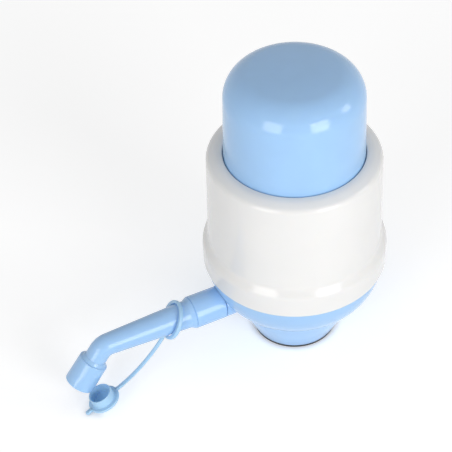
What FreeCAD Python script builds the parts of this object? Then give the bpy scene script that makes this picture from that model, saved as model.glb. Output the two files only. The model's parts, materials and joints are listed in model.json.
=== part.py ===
import FreeCAD, Part
import math
import os
from FreeCAD import Placement, Rotation, Vector

# Hand pump for a water jug. Pressing the cap squeezes a bellows, whose air goes down into the jug and
# drives water up the dip tube and out of the spout.
# Millimetres. The origin is on the pump's axis, in the plane that the pump rests on; +Z is up and the
# spout points along -X.

# ---- Driving dimensions: levels, each as the height of one storey ----
LIP_HEIGHT = 1.3              # rubber lip that shows under the neck cone
CONE_HEIGHT = 25.5            # neck cone, from the lip to its top edge
CREASE_GAP = 0.4              # shadow gap between neck cone and bowl
BOWL_HEIGHT = 24.0            # lower bowl
BAND_HEIGHT = 10.8            # widest band of the housing
FLARE_HEIGHT = 8.6            # from the band back to the housing's wall
WALL_HEIGHT = 53.7            # from the flare to the housing's top
CAP_HEIGHT = 50.7             # push cap above the housing

# ---- Outside radii ----
CONE_TOP_R = 36.1
CONE_EDGE_ROUND = 1.2
CREASE_STEP = 0.8             # how far the bowl's foot stands out past the cone's top edge
BOWL_BOW = 2.6                # how far the bowl's side swells out of a straight cone
BAND_R = 50.0
BAND_STEP = 1.2               # how far the band stands out past the bowl
BAND_EDGE_ROUND = 1.2
FLARE_ROUND = 6.0
FLARE_END = 2.15              # height at each end of the flare that its sloping middle leaves out
FLARE_STEP = 3.1              # how far the band stands out past the housing's wall
WALL_DRAFT = 0.8              # how much the wall narrows up to the shoulder
SHOULDER_ROUND = 4.5
OPENING_ROUND = 0.8
CAP_INSET = 12.95             # how far the cap's side lies inside the band
CAP_DRAFT = 0.75              # how much smaller the cap is below its dome
DOME_ROUND = 15.2
CROWN_R = 200.0               # radius of the nearly flat crown

# ---- Walls ----
HOUSING_WALL = 2.4
HOUSING_TOP_WALL = 2.6
CAP_WALL = 2.2
BOWL_WALL = 2.2
BOWL_COLLAR_HEIGHT = 2.5
CONE_WALL = 2.2

# ---- Clearances ----
RUN_GAP = 0.05                # radial gap of a part that turns or slides in its bore
SEAT_GAP = 0.1                # radial gap of a part that is pushed in and stays
CAP_GAP = 0.4                 # radial gap between the cap and the housing's opening
STOP_GAP = 0.3                # between the cap's flange and the housing at rest
JOINT_GAP = 0.15              # between the spout's sleeve and its boss
POCKET_GAP = 0.35             # round the sleeve, where it turns in a pocket of the bowl's side

# ---- Push cap and its travel ----
CAP_TRAVEL = 30.0
CAP_FLANGE_WIDTH = 3.1
CAP_FLANGE_HEIGHT = 2.5
GUIDE_RIB_COUNT = 6
GUIDE_RIB_WIDTH = 2.0
GUIDE_GAP = 0.3

# ---- Pressing plate, carried by the cap ----
PLATE_LEVEL = 32.4            # underside of the plate above the housing's top
PLATE_THICKNESS = 3.0
PLATE_GAP = 2.1               # between the plate's edge and the cap's wall
PLATE_AIR_HOLES = 6
PLATE_AIR_HOLE_R = 2.0
PLATE_AIR_CIRCLE_R = 7.0
PLATE_SCREWS = 3
CLAMP_SCREW_INSET = 2.3       # from the plate's edge to its screws
PRESS_RIB_COUNT = 4
PRESS_RIB_WIDTH = 2.0
PRESS_RIB_IN_R = 13.0
PRESS_RIB_OUT_R = 26.0
PRESS_RIB_PHASE = 45.0        # degrees from +X to the first rib

# ---- Bellows and return spring ----
BELLOWS_FLANGE_WIDTH = 5.2    # of the top flange, from the plate's edge to the bellows' neck
BELLOWS_FOLD_DEPTH = 5.2
BELLOWS_WALL = 1.1
BELLOWS_FOLDS = 9
BELLOWS_NECK = 4.0            # straight length between a flange and the first fold
BELLOWS_FLANGE = 2.0
CLAMP_RING_HEIGHT = 2.0
BASE_RING_SCREWS = 6
BASE_SCREW_OUTSET = 5.6       # from the bellows' neck to the lower ring's screws
BASE_RING_EDGE = 4.0          # from those screws to the ring's edge
SPRING_MEAN_R = 18.0
SPRING_WIRE_R = 1.0
SPRING_TURNS = 10
SPRING_SEAT_HEIGHT = 1.5      # rings on deck and plate that centre the return spring
SPRING_SEAT_WALL = 1.5

# ---- Valve deck, clamped on the bowl's spigot ----
SPIGOT_HEIGHT = 6.0
SPIGOT_WALL = 3.2
DECK_THICKNESS = 4.0
DECK_AIR_HOLES = 8
DECK_AIR_HOLE_R = 1.8
DECK_AIR_CIRCLE_R = 9.0
DECK_SCREWS = 6
DECK_SCREW_INSET = 2.3        # from the spigot's inner face to the deck's screws
SCREW_BOSS_R = 3.2
SCREW_BOSS_HEIGHT = 12.0
SCREW_BOSS_FLOOR = 2.2        # left below the hole
SCREW_PHASE = 30.0            # degrees from +X to the first boss, clear of the spout

# ---- Valves ----
VALVE_THICKNESS = 1.2
VALVE_LIFT = 1.5
VALVE_SEAT_GAP = 0.1
INTAKE_VALVE_R = 11.0
INTAKE_STEM_R = 2.0
INTAKE_BULB_R = 3.2
INTAKE_BULB_HEIGHT = 4.0
INTAKE_BULB_ROUND = 0.6
VALVE_EDGE_ROUND = 0.4
OUTLET_VALVE_R = 13.0
CLIP_R = 7.0
CLIP_THICKNESS = 1.2

# ---- Water way ----
BOSS_LEVEL = 7.7              # the spout's axis above the bowl's foot
POST_R = 4.4                  # post of the elbow that carries the outlet valve
PIPE_BORE_R = 3.5
PIPE_WALL = 1.3
NIPPLE_R = 5.0
NIPPLE_DROP = 15.2            # from the spout's axis down to the nipple's end
NIPPLE_CHAMFER = 0.6
NIPPLE_STOP_WIDTH = 1.5
NIPPLE_STOP_HEIGHT = 2.0
NIPPLE_STOP_OVERLAP = 1.0     # how far the stop runs up into the elbow's ball
ELBOW_BALL_R = 6.4
BOSS_LENGTH = 8.8             # from the bowl's foot to the boss's end
BOSS_WALL = 2.65
BOSS_INNER_WALL = 1.75
BOSS_DEPTH = 12.0             # length of the boss and its inner part
PIPE_SEAT = 2.7               # how far the elbow's pipe goes into the inner part
SPOUT_SPIGOT_R = 6.2
SPOUT_SPIGOT_LENGTH = 8.6
SPOUT_SPIGOT_ROUND = 0.4
RING_SEAL_R = 0.65            # section radius of the small O-rings
SPOUT_SEALS = 2
SPOUT_SEAL_PITCH = 3.0

# ---- Jug neck ----
NECK_BORE_R = 19.2            # over a neck of 38 mm
GASKET_WALL = 1.6
GASKET_LIP_INSET = 0.1        # how far the lip stays inside the cone's foot
GASKET_LIP_ROUND = 0.4
NECK_DEPTH = 19.0
WASHER_THICKNESS = 2.0
WASHER_BORE_R = 14.5
LEDGE_THICKNESS = 2.0
NECK_TUBE_WALL = 1.8
CONE_FOOT_WIDTH = 2.5         # flat ring under the cone, round the gasket
NECK_RIB_COUNT = 8
NECK_RIB_WIDTH = 1.8
CONE_SHOULDER = 3.0           # flat ring on top of the cone, round its spigot
CONE_SPIGOT_WALL = 2.0
CONE_SPIGOT_HEIGHT = 2.9

# ---- Spout ----
SLEEVE_PROUD = 0.2            # how far the sleeve stands out past the boss
SLEEVE_LENGTH = 20.6
SLEEVE_STEP = 2.4             # length of the sleeve's sloping end
SLEEVE_EDGE_ROUND = 1.5
SLEEVE_SEAM_ROUND = 0.3
TUBE_START_R = 7.7
SPOUT_BORE_R = 4.0
SPOUT_BORE_END_R = 3.8
ARM_LENGTH = 70.2             # from the boss's end to where the spout's two centrelines meet
BEND_ANGLE = 53.4             # degrees below the horizontal
BEND_R = 7.0
TIP_TUBE_R = 6.0              # the tube tapers to this and keeps it from the bend on
TIP_SOCKET = 5.0
NOZZLE_START = 10.2           # along the tip, from where the centrelines meet
NOZZLE_LENGTH = 16.2
NOZZLE_WALL = 1.5
NOZZLE_FLARE = 0.2            # how much wider the nozzle is at its end than at its top
NOZZLE_ROUND = 0.9
NOZZLE_BORE_R = 6.8
NOZZLE_BORE_LENGTH = 8.0

# ---- Tether: ring, strap and dust cap ----
RING_PLACE = 29.3             # the ring's centre, from the boss's end
RING_INNER_R = 9.45
RING_WALL = 1.35
RING_WIDTH = 2.2
RING_INNER_ROUND = 0.5
RING_OUTER_ROUND = 0.6
RING_TILT = 27.5              # degrees that the strap's pull leans the ring
RING_TURN = 11.5              # and turns it about +Z
RING_DROP = 0.2               # the loose ring hangs this far below the tube's axis
RING_LUG_LENGTH = 1.3
STRAP_WIDTH = 2.8
STRAP_THICKNESS = 1.7
STRAP_SAG = 4.5               # how far the strap's middle hangs off the line between its ends
LUG_GAP = 0.3                 # between a lug and the strap's rounded end
DUST_PLACE = 76.5             # the dust cap's flange, from the boss's end
DUST_SIDE = 9.8               # and to the spout's side
DUST_DROP = 29.8              # and below the spout's axis
DUST_TURN = 23.0              # degrees about +Z of the dust cap's lean
DUST_LEAN = 21.5              # degrees from upright
DUST_STRAP_TURN = 30.0        # degrees in the flange's plane from the lean to the tab
DUST_FLANGE_R = 8.9
DUST_FLANGE_THICKNESS = 1.6
DUST_FLANGE_ROUND = 0.5
DUST_PLUG_TAPER = 0.25
DUST_PLUG_HEIGHT = 4.9
DUST_PLUG_WALL = 0.8
DUST_PLUG_ROUND = 0.3
DUST_TAB_LENGTH = 3.5
DUST_TAB_WIDTH = 2.4
DUST_LUG_LENGTH = 1.1

# ---- Fasteners ----
SCREW_R = 1.3
SCREW_HEAD_R = 2.5
SCREW_HEAD_HEIGHT = 1.6
SCREW_HEAD_ROUND = 0.6
SCREW_SLOT_WIDTH = 0.7
SCREW_SLOT_DEPTH = 0.8
DECK_SCREW_LENGTH = 12.0
RING_SCREW_BITE = 2.6         # length of a clamp ring's screw past the flange it clamps
POST_SCREW_LENGTH = 14.0      # through the deck and into the elbow's post
POST_HOLE_DEPTH = 12.0
LARGE_SEAL_R = 0.75           # section radius of the large O-rings

# ---- Levels, radii and places that follow ----
lip_top = LIP_HEIGHT
cone_top = lip_top + CONE_HEIGHT
bowl_bottom = cone_top + CREASE_GAP
bowl_top = bowl_bottom + BOWL_HEIGHT
band_top = bowl_top + BAND_HEIGHT
waist = band_top + FLARE_HEIGHT
housing_top = waist + WALL_HEIGHT
housing_ceiling = housing_top - HOUSING_TOP_WALL
cap_top = housing_top + CAP_HEIGHT

waist_r = BAND_R - FLARE_STEP
shoulder_r = waist_r - WALL_DRAFT
bowl_top_r = BAND_R - BAND_STEP
bowl_bottom_r = CONE_TOP_R + CREASE_STEP
cap_r = BAND_R - CAP_INSET
opening_r = cap_r + CAP_GAP
cap_flange_r = cap_r + CAP_FLANGE_WIDTH
flange_top = housing_ceiling - STOP_GAP
flange_bottom = flange_top - CAP_FLANGE_HEIGHT

plate_bottom = housing_top + PLATE_LEVEL
plate_top = plate_bottom + PLATE_THICKNESS
plate_r = cap_r - CAP_WALL - PLATE_GAP
clamp_screw_circle_r = plate_r - CLAMP_SCREW_INSET
neck_r = plate_r - BELLOWS_FLANGE_WIDTH
crest_r = neck_r + BELLOWS_FOLD_DEPTH
ring_hole_r = neck_r + SEAT_GAP
base_screw_circle_r = neck_r + BASE_SCREW_OUTSET
base_ring_r = base_screw_circle_r + BASE_RING_EDGE
spring_seat_r = SPRING_MEAN_R + SPRING_WIRE_R + SEAT_GAP

spigot_r = BAND_R - HOUSING_WALL - SEAT_GAP
spigot_inner_r = spigot_r - SPIGOT_WALL
spigot_top = bowl_top + SPIGOT_HEIGHT
deck_top = spigot_top + DECK_THICKNESS
deck_screw_circle_r = spigot_inner_r - DECK_SCREW_INSET
screw_hole_r = SCREW_R + RUN_GAP

washer_r = NECK_BORE_R + GASKET_WALL
washer_top = NECK_DEPTH + WASHER_THICKNESS
ledge_top = washer_top + LEDGE_THICKNESS
cone_bottom_r = washer_r + CONE_FOOT_WIDTH
cone_spigot_r = CONE_TOP_R - CONE_SHOULDER
cone_spigot_top = cone_top + CONE_SPIGOT_HEIGHT
gasket_lip_r = cone_bottom_r - GASKET_LIP_INSET

spout_level = bowl_bottom + BOSS_LEVEL
nipple_bottom = spout_level - NIPPLE_DROP
nipple_stop_r = NIPPLE_R + NIPPLE_STOP_WIDTH
pipe_r = PIPE_BORE_R + PIPE_WALL
pipe_bore_in_boss_r = pipe_r + RUN_GAP
boss_bore_r = SPOUT_SPIGOT_R + RUN_GAP
boss_r = boss_bore_r + BOSS_WALL
boss_inner_r = boss_bore_r + BOSS_INNER_WALL
boss_start = (CONE_TOP_R + bowl_bottom_r) / 2
boss_reach = bowl_bottom_r + BOSS_LENGTH
boss_inner_end = boss_reach - BOSS_DEPTH
pipe_end = boss_inner_end + PIPE_SEAT
sleeve_r = boss_r + SLEEVE_PROUD
sleeve_start = boss_reach + JOINT_GAP
spigot_end = boss_reach - SPOUT_SPIGOT_LENGTH
boss_bore_end = spigot_end - 2 * SEAT_GAP
tube_start = sleeve_start + SLEEVE_LENGTH
elbow_reach = boss_reach + ARM_LENGTH
bend_tangent = BEND_R * math.tan(math.radians(BEND_ANGLE) / 2)
nozzle_end_r = NOZZLE_BORE_R + NOZZLE_WALL
nozzle_top_r = nozzle_end_r - NOZZLE_FLARE
ring_reach = boss_reach + RING_PLACE
dust_centre = Vector(-boss_reach - DUST_PLACE, -DUST_SIDE, spout_level - DUST_DROP)
dust_plug_r = NOZZLE_BORE_R - SEAT_GAP
dust_plug_tip_r = dust_plug_r - DUST_PLUG_TAPER

UP = Vector(0, 0, 1)
ORIGIN = Vector(0, 0, 0)
SPOUT_AXIS = Vector(-1, 0, 0)
SPOUT_START = Vector(0, 0, spout_level)


# ---- Helpers ----
def fillet_arc(before, corner, after, radius):
    """Start, middle and end of the arc that rounds a corner of an outline."""
    to_before = (before - corner).normalize()
    to_after = (after - corner).normalize()
    half = to_before.getAngle(to_after) / 2
    reach = radius / math.tan(half)
    bisector = (to_before + to_after).normalize()
    middle = corner + bisector * (radius / math.sin(half) - radius)
    return corner + to_before * reach, middle, corner + to_after * reach


def outline(points):
    """Face in the XZ plane from (radius, height) corners; a third value rounds that corner."""
    corners = [Vector(point[0], 0, point[1]) for point in points]
    rounds = [point[2] if len(point) > 2 else 0 for point in points]
    stops = []
    for i, corner in enumerate(corners):
        if rounds[i]:
            stops.append(fillet_arc(corners[i - 1], corner, corners[(i + 1) % len(corners)], rounds[i]))
        else:
            stops.append((corner, None, corner))
    edges = []
    for i, (start, middle, end) in enumerate(stops):
        if middle is not None:
            edges.append(Part.Arc(start, middle, end).toShape())
        following = stops[(i + 1) % len(stops)][0]
        if end.distanceToPoint(following) > 1e-6:
            edges.append(Part.LineSegment(end, following).toShape())
    return Part.Face(Part.Wire(edges))


def turned(points, base=ORIGIN, axis=UP):
    """Solid of revolution from (radius, distance along the axis) corners."""
    solid = outline(points).revolve(ORIGIN, UP, 360)
    solid.Placement = Placement(base, Rotation(UP, axis))
    return solid


def rod(radius, start, end, base=ORIGIN, axis=UP):
    return Part.makeCylinder(radius, end - start, base + axis * start, axis)


def tube(outer_r, inner_r, start, end, base=ORIGIN, axis=UP):
    return rod(outer_r, start, end, base, axis).cut(rod(inner_r, start, end, base, axis))


def seal(mean_r, section_r, place, base=ORIGIN, axis=UP):
    return Part.makeTorus(mean_r, section_r, base + axis * place, axis)


def fused(shapes):
    return shapes[0].fuse(shapes[1:]).removeSplitter()


def around(shape, count, first=0.0):
    """Copies of a shape, evenly spaced about the pump's axis."""
    copies = []
    for i in range(count):
        copy = shape.copy()
        copy.rotate(ORIGIN, UP, first + i * 360.0 / count)
        copies.append(copy)
    return copies


def centred_box(length, width, height, base):
    """Box centred on its base point in X and Y, standing on it."""
    return Part.makeBox(length, width, height, base - Vector(length / 2, width / 2, 0))


def screw(length, place, head_direction=UP):
    """Slotted pan-head screw with its head's seat at the given place."""
    head = turned([(0, 0), (SCREW_HEAD_R, 0), (SCREW_HEAD_R, SCREW_HEAD_HEIGHT, SCREW_HEAD_ROUND),
                   (0, SCREW_HEAD_HEIGHT)])
    slot_level = SCREW_HEAD_HEIGHT - SCREW_SLOT_DEPTH
    slot = centred_box(3 * SCREW_HEAD_R, SCREW_SLOT_WIDTH, SCREW_SLOT_DEPTH, Vector(0, 0, slot_level))
    solid = fused([head, rod(SCREW_R, -length, 0)]).cut(slot)
    solid.Placement = Placement(place, Rotation(UP, head_direction))
    return solid


# ---- Push cap and what it carries ----
def dome_edges(inset):
    """Crown and dome edge of the cap, from the axis down to its side, moved inwards by a wall."""
    side_r = cap_r - CAP_DRAFT - inset
    edge_centre_r = cap_r - CAP_DRAFT - DOME_ROUND
    crown_centre = Vector(0, 0, cap_top - CROWN_R)
    rise = math.sqrt((CROWN_R - DOME_ROUND) ** 2 - edge_centre_r ** 2)
    edge_centre = Vector(edge_centre_r, 0, crown_centre.z + rise)
    tangent = (edge_centre - crown_centre).normalize()
    meeting = edge_centre + tangent * (DOME_ROUND - inset)
    crown_middle = crown_centre + (tangent + UP).normalize() * (CROWN_R - inset)
    edge_middle = edge_centre + (tangent + Vector(1, 0, 0)).normalize() * (DOME_ROUND - inset)
    top = Vector(0, 0, cap_top - inset)
    side = Vector(side_r, 0, edge_centre.z)
    crown = Part.Arc(top, crown_middle, meeting).toShape()
    edge = Part.Arc(meeting, edge_middle, side).toShape()
    return [crown, edge], top, side


def cap_body(inset, bottom):
    """Solid inside the cap's outer face, or inside its inner face when moved in by its wall."""
    edges, top, side = dome_edges(inset)
    seam = Vector(cap_r - inset, 0, housing_top)
    foot = Vector(cap_r - inset, 0, bottom)
    centre = Vector(0, 0, bottom)
    edges.append(Part.LineSegment(side, seam).toShape())
    edges.append(Part.LineSegment(seam, foot).toShape())
    edges.append(Part.LineSegment(foot, centre).toShape())
    edges.append(Part.LineSegment(centre, top).toShape())
    return Part.Face(Part.Wire(edges)).revolve(ORIGIN, UP, 360)


def push_cap():
    outside = cap_body(0, flange_bottom)
    shell = outside.cut(cap_body(CAP_WALL, flange_bottom))
    flange = tube(cap_flange_r, cap_r - CAP_WALL, flange_bottom, flange_top)
    post = rod(SCREW_BOSS_R, plate_top, cap_top, Vector(clamp_screw_circle_r - SCREW_BOSS_R / 2, 0, 0))
    rib_length = PRESS_RIB_OUT_R - PRESS_RIB_IN_R
    rib = centred_box(rib_length, PRESS_RIB_WIDTH, cap_top - plate_top,
                      Vector(PRESS_RIB_IN_R + rib_length / 2, 0, plate_top))
    posts = around(post, PLATE_SCREWS)
    ribs = around(rib, PRESS_RIB_COUNT, PRESS_RIB_PHASE)
    inside = fused(posts + ribs).common(outside)
    hole = rod(screw_hole_r, plate_top, plate_top + 2 * RING_SCREW_BITE, Vector(clamp_screw_circle_r, 0, 0))
    return fused([shell, flange, inside]).cut(around(hole, PLATE_SCREWS))


def pressing_plate():
    plate = rod(plate_r, plate_bottom, plate_top)
    stem_hole = rod(INTAKE_STEM_R + RUN_GAP, plate_bottom, plate_top)
    air_hole = rod(PLATE_AIR_HOLE_R, plate_bottom, plate_top, Vector(PLATE_AIR_CIRCLE_R, 0, 0))
    screw_hole = rod(screw_hole_r, plate_bottom, plate_top, Vector(clamp_screw_circle_r, 0, 0))
    seat = tube(spring_seat_r + SPRING_SEAT_WALL, spring_seat_r, plate_bottom - SPRING_SEAT_HEIGHT,
                plate_bottom)
    holes = [stem_hole] + around(air_hole, PLATE_AIR_HOLES) + around(screw_hole, PLATE_SCREWS)
    return fused([plate, seat]).cut(holes)


def intake_valve():
    """Rubber disc under the pressing plate, hung on a bulb above it; it drops to let air in."""
    disc_top = plate_bottom - VALVE_SEAT_GAP
    disc_bottom = disc_top - VALVE_THICKNESS
    disc = turned([(0, disc_bottom), (INTAKE_VALVE_R, disc_bottom, VALVE_EDGE_ROUND),
                   (INTAKE_VALVE_R, disc_top), (0, disc_top)])
    bulb_bottom = plate_top + VALVE_LIFT + VALVE_SEAT_GAP
    bulb_top = bulb_bottom + INTAKE_BULB_HEIGHT
    bulb = turned([(0, bulb_bottom), (INTAKE_BULB_R, bulb_bottom, INTAKE_BULB_ROUND),
                   (INTAKE_STEM_R, bulb_top), (0, bulb_top)])
    return fused([disc, rod(INTAKE_STEM_R, disc_top, bulb_bottom), bulb])


# ---- Bellows, its clamp rings and the return spring ----
def bellows():
    """Rubber bellows with a flange at each end, clamped to the plate and to the deck."""
    low = deck_top + BELLOWS_FLANGE
    high = plate_bottom - BELLOWS_FLANGE
    fold = (high - low - 2 * BELLOWS_NECK) / BELLOWS_FOLDS
    outside = [(base_ring_r, deck_top), (base_ring_r, low), (neck_r, low)]
    inside = [(neck_r - BELLOWS_WALL, deck_top)]
    for i in range(BELLOWS_FOLDS):
        root = low + BELLOWS_NECK + i * fold
        outside += [(neck_r, root), (crest_r, root + fold / 2)]
        inside += [(neck_r - BELLOWS_WALL, root), (crest_r - BELLOWS_WALL, root + fold / 2)]
    last_root = high - BELLOWS_NECK
    outside += [(neck_r, last_root), (neck_r, high), (plate_r, high), (plate_r, plate_bottom)]
    inside += [(neck_r - BELLOWS_WALL, last_root), (neck_r - BELLOWS_WALL, plate_bottom)]
    body = turned(outside + inside[::-1])
    plate_hole = rod(screw_hole_r, high, plate_bottom, Vector(clamp_screw_circle_r, 0, 0))
    deck_hole = rod(screw_hole_r, deck_top, low, Vector(base_screw_circle_r, 0, 0))
    return body.cut(around(plate_hole, PLATE_SCREWS) + around(deck_hole, BASE_RING_SCREWS))


def clamp_ring(outer_r, bottom, screw_circle_r, screws):
    ring = tube(outer_r, ring_hole_r, bottom, bottom + CLAMP_RING_HEIGHT)
    hole = rod(screw_hole_r, bottom, bottom + CLAMP_RING_HEIGHT, Vector(screw_circle_r, 0, 0))
    return ring.cut(around(hole, screws))


def bellows_top_ring():
    return clamp_ring(plate_r, plate_bottom - BELLOWS_FLANGE - CLAMP_RING_HEIGHT, clamp_screw_circle_r,
                      PLATE_SCREWS)


def bellows_base_ring():
    return clamp_ring(base_ring_r, deck_top + BELLOWS_FLANGE, base_screw_circle_r, BASE_RING_SCREWS)


def plate_screws():
    """Screws that hold ring, bellows and plate to the cap's posts."""
    seat = plate_bottom - BELLOWS_FLANGE - CLAMP_RING_HEIGHT
    length = CLAMP_RING_HEIGHT + BELLOWS_FLANGE + PLATE_THICKNESS + RING_SCREW_BITE
    return Part.Compound(around(screw(length, Vector(clamp_screw_circle_r, 0, seat), -UP), PLATE_SCREWS))


def base_ring_screws():
    seat = deck_top + BELLOWS_FLANGE + CLAMP_RING_HEIGHT
    length = CLAMP_RING_HEIGHT + BELLOWS_FLANGE + RING_SCREW_BITE
    return Part.Compound(around(screw(length, Vector(base_screw_circle_r, 0, seat)), BASE_RING_SCREWS))


def return_spring():
    """Open coil spring between the deck and the pressing plate."""
    length = plate_bottom - deck_top - 2 * SPRING_WIRE_R
    helix = Part.makeHelix(length / SPRING_TURNS, length, SPRING_MEAN_R)
    section = Part.Wire(Part.makeCircle(SPRING_WIRE_R, Vector(SPRING_MEAN_R, 0, 0), Vector(0, 1, 0)))
    spring = Part.Wire(helix.Edges).makePipeShell([section], True, True)
    spring.translate(Vector(0, 0, deck_top + SPRING_WIRE_R))
    return spring


# ---- Housing and deck ----
def housing_shell():
    """Outer casing: band, flare, wall, shoulder and the opening that guides the cap."""
    wall = HOUSING_WALL
    shell = turned([
        (BAND_R, bowl_top, BAND_EDGE_ROUND),
        (BAND_R, band_top + FLARE_END, FLARE_ROUND),
        (waist_r, waist - FLARE_END, FLARE_ROUND),
        (shoulder_r, housing_top, SHOULDER_ROUND),
        (opening_r, housing_top, OPENING_ROUND),
        (opening_r, housing_ceiling),
        (shoulder_r - wall, housing_ceiling, SHOULDER_ROUND - wall),
        (waist_r - wall, waist - FLARE_END, FLARE_ROUND),
        (BAND_R - wall, band_top + FLARE_END, FLARE_ROUND),
        (BAND_R - wall, bowl_top)])
    rib_bottom = flange_bottom - CAP_TRAVEL - CAP_FLANGE_HEIGHT
    rib_in = cap_flange_r + GUIDE_GAP
    rib_out = shoulder_r - wall / 2
    rib = centred_box(rib_out - rib_in, GUIDE_RIB_WIDTH, housing_ceiling - rib_bottom,
                      Vector((rib_in + rib_out) / 2, 0, rib_bottom))
    return fused([shell] + around(rib, GUIDE_RIB_COUNT))


def valve_deck():
    """Plate between the bellows and the neck's air space, with the outlet holes round its middle."""
    plate = rod(spigot_r, spigot_top, deck_top)
    seat = tube(spring_seat_r + SPRING_SEAT_WALL, spring_seat_r, deck_top, deck_top + SPRING_SEAT_HEIGHT)
    air_hole = rod(DECK_AIR_HOLE_R, spigot_top, deck_top, Vector(DECK_AIR_CIRCLE_R, 0, 0))
    deck_hole = rod(screw_hole_r, spigot_top, deck_top, Vector(deck_screw_circle_r, 0, 0))
    ring_hole = rod(screw_hole_r, deck_top - RING_SCREW_BITE - SEAT_GAP, deck_top,
                    Vector(base_screw_circle_r, 0, 0))
    holes = [rod(screw_hole_r, spigot_top, deck_top)]
    holes += around(air_hole, DECK_AIR_HOLES)
    holes += around(deck_hole, DECK_SCREWS, SCREW_PHASE)
    holes += around(ring_hole, BASE_RING_SCREWS)
    return fused([plate, seat]).cut(holes)


def deck_screws():
    place = Vector(deck_screw_circle_r, 0, deck_top)
    return Part.Compound(around(screw(DECK_SCREW_LENGTH, place), DECK_SCREWS, SCREW_PHASE))


def deck_seal():
    return seal(spigot_r - SPIGOT_WALL / 2, LARGE_SEAL_R, spigot_top - LARGE_SEAL_R)


def housing_seal():
    return seal(spigot_r - LARGE_SEAL_R, LARGE_SEAL_R, bowl_top + SPIGOT_HEIGHT / 2)


# ---- Bowl with the spout's boss ----
def bowl_wall():
    """The bowl's swelling side with its collar below and its spigot above."""
    outer_foot = Vector(bowl_bottom_r, 0, bowl_bottom)
    outer_rim = Vector(bowl_top_r, 0, bowl_top)
    side = (outer_rim - outer_foot).normalize()
    outward = Vector(side.z, 0, -side.x)
    inner_foot = Vector(bowl_bottom_r - BOWL_WALL, 0, bowl_bottom + BOWL_COLLAR_HEIGHT)
    inner_rim = Vector(spigot_inner_r, 0, bowl_top - BOWL_WALL)
    outer_arc = Part.Arc(outer_foot, (outer_foot + outer_rim) * 0.5 + outward * BOWL_BOW, outer_rim)
    inner_arc = Part.Arc(inner_rim, (inner_foot + inner_rim) * 0.5 + outward * BOWL_BOW, inner_foot)
    collar_r = cone_spigot_r + SEAT_GAP
    rim = [outer_rim, Vector(spigot_r, 0, bowl_top), Vector(spigot_r, 0, spigot_top),
           Vector(spigot_inner_r, 0, spigot_top), inner_rim]
    foot = [inner_foot, Vector(collar_r, 0, inner_foot.z), Vector(collar_r, 0, bowl_bottom), outer_foot]
    edges = [outer_arc.toShape()]
    edges += [Part.LineSegment(a, b).toShape() for a, b in zip(rim, rim[1:])]
    edges.append(inner_arc.toShape())
    edges += [Part.LineSegment(a, b).toShape() for a, b in zip(foot, foot[1:])]
    return Part.Face(Part.Wire(edges)).revolve(ORIGIN, UP, 360)


def base_bowl():
    boss = fused([rod(boss_r, boss_start, boss_reach, SPOUT_START, SPOUT_AXIS),
                  rod(boss_inner_r, boss_inner_end, boss_reach, SPOUT_START, SPOUT_AXIS)])
    screw_boss = rod(SCREW_BOSS_R, spigot_top - SCREW_BOSS_HEIGHT, spigot_top,
                     Vector(deck_screw_circle_r, 0, 0))
    screw_hole = rod(screw_hole_r, spigot_top - SCREW_BOSS_HEIGHT + SCREW_BOSS_FLOOR, spigot_top,
                     Vector(deck_screw_circle_r, 0, 0))
    seal_groove = 2 * LARGE_SEAL_R
    deck_groove = tube(spigot_r - SPIGOT_WALL / 2 + LARGE_SEAL_R, spigot_r - SPIGOT_WALL / 2 - LARGE_SEAL_R,
                       spigot_top - seal_groove, spigot_top)
    seal_level = bowl_top + SPIGOT_HEIGHT / 2
    housing_groove = tube(spigot_r + SEAT_GAP, spigot_r - seal_groove, seal_level - LARGE_SEAL_R,
                          seal_level + LARGE_SEAL_R)
    spout_bore = rod(boss_bore_r, boss_bore_end, boss_reach, SPOUT_START, SPOUT_AXIS)
    pipe_bore = rod(pipe_bore_in_boss_r, boss_inner_end, boss_reach, SPOUT_START, SPOUT_AXIS)
    pipe_groove = rod(pipe_r + 2 * RING_SEAL_R, elbow_seal_place() - RING_SEAL_R,
                      elbow_seal_place() + RING_SEAL_R, SPOUT_START, SPOUT_AXIS)
    body = fused([bowl_wall(), boss] + around(screw_boss, DECK_SCREWS, SCREW_PHASE))
    pocket = rod(sleeve_r + POCKET_GAP, boss_reach, tube_start, SPOUT_START, SPOUT_AXIS)
    cuts = [pocket, deck_groove, housing_groove, spout_bore, pipe_bore, pipe_groove]
    return body.cut(cuts + around(screw_hole, DECK_SCREWS, SCREW_PHASE))


# ---- Water way ----
def elbow_seal_place():
    return (boss_inner_end + boss_bore_end) / 2


def water_elbow():
    """Nipple for the dip tube, pipe to the spout's boss, and the post that the deck's screw holds."""
    nipple = turned([(0, nipple_bottom), (NIPPLE_R, nipple_bottom, NIPPLE_CHAMFER), (NIPPLE_R, spout_level),
                     (0, spout_level)])
    stop_top = spout_level - ELBOW_BALL_R + NIPPLE_STOP_OVERLAP
    stop = rod(nipple_stop_r, stop_top - NIPPLE_STOP_HEIGHT, stop_top)
    ball = Part.makeSphere(ELBOW_BALL_R, SPOUT_START)
    pipe = rod(pipe_r, 0, pipe_end, SPOUT_START, SPOUT_AXIS)
    post = rod(POST_R, spout_level, spigot_top)
    down_bore = rod(PIPE_BORE_R, nipple_bottom, spout_level)
    across_bore = rod(PIPE_BORE_R, 0, pipe_end, SPOUT_START, SPOUT_AXIS)
    corner = Part.makeSphere(PIPE_BORE_R, SPOUT_START)
    screw_hole = rod(screw_hole_r, spigot_top - POST_HOLE_DEPTH, spigot_top)
    return fused([nipple, stop, ball, pipe, post]).cut([down_bore, across_bore, corner, screw_hole])


def elbow_screw():
    return screw(POST_SCREW_LENGTH, Vector(0, 0, deck_top))


def elbow_seal():
    return seal(pipe_r + RING_SEAL_R, RING_SEAL_R, elbow_seal_place(), SPOUT_START, SPOUT_AXIS)


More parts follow.
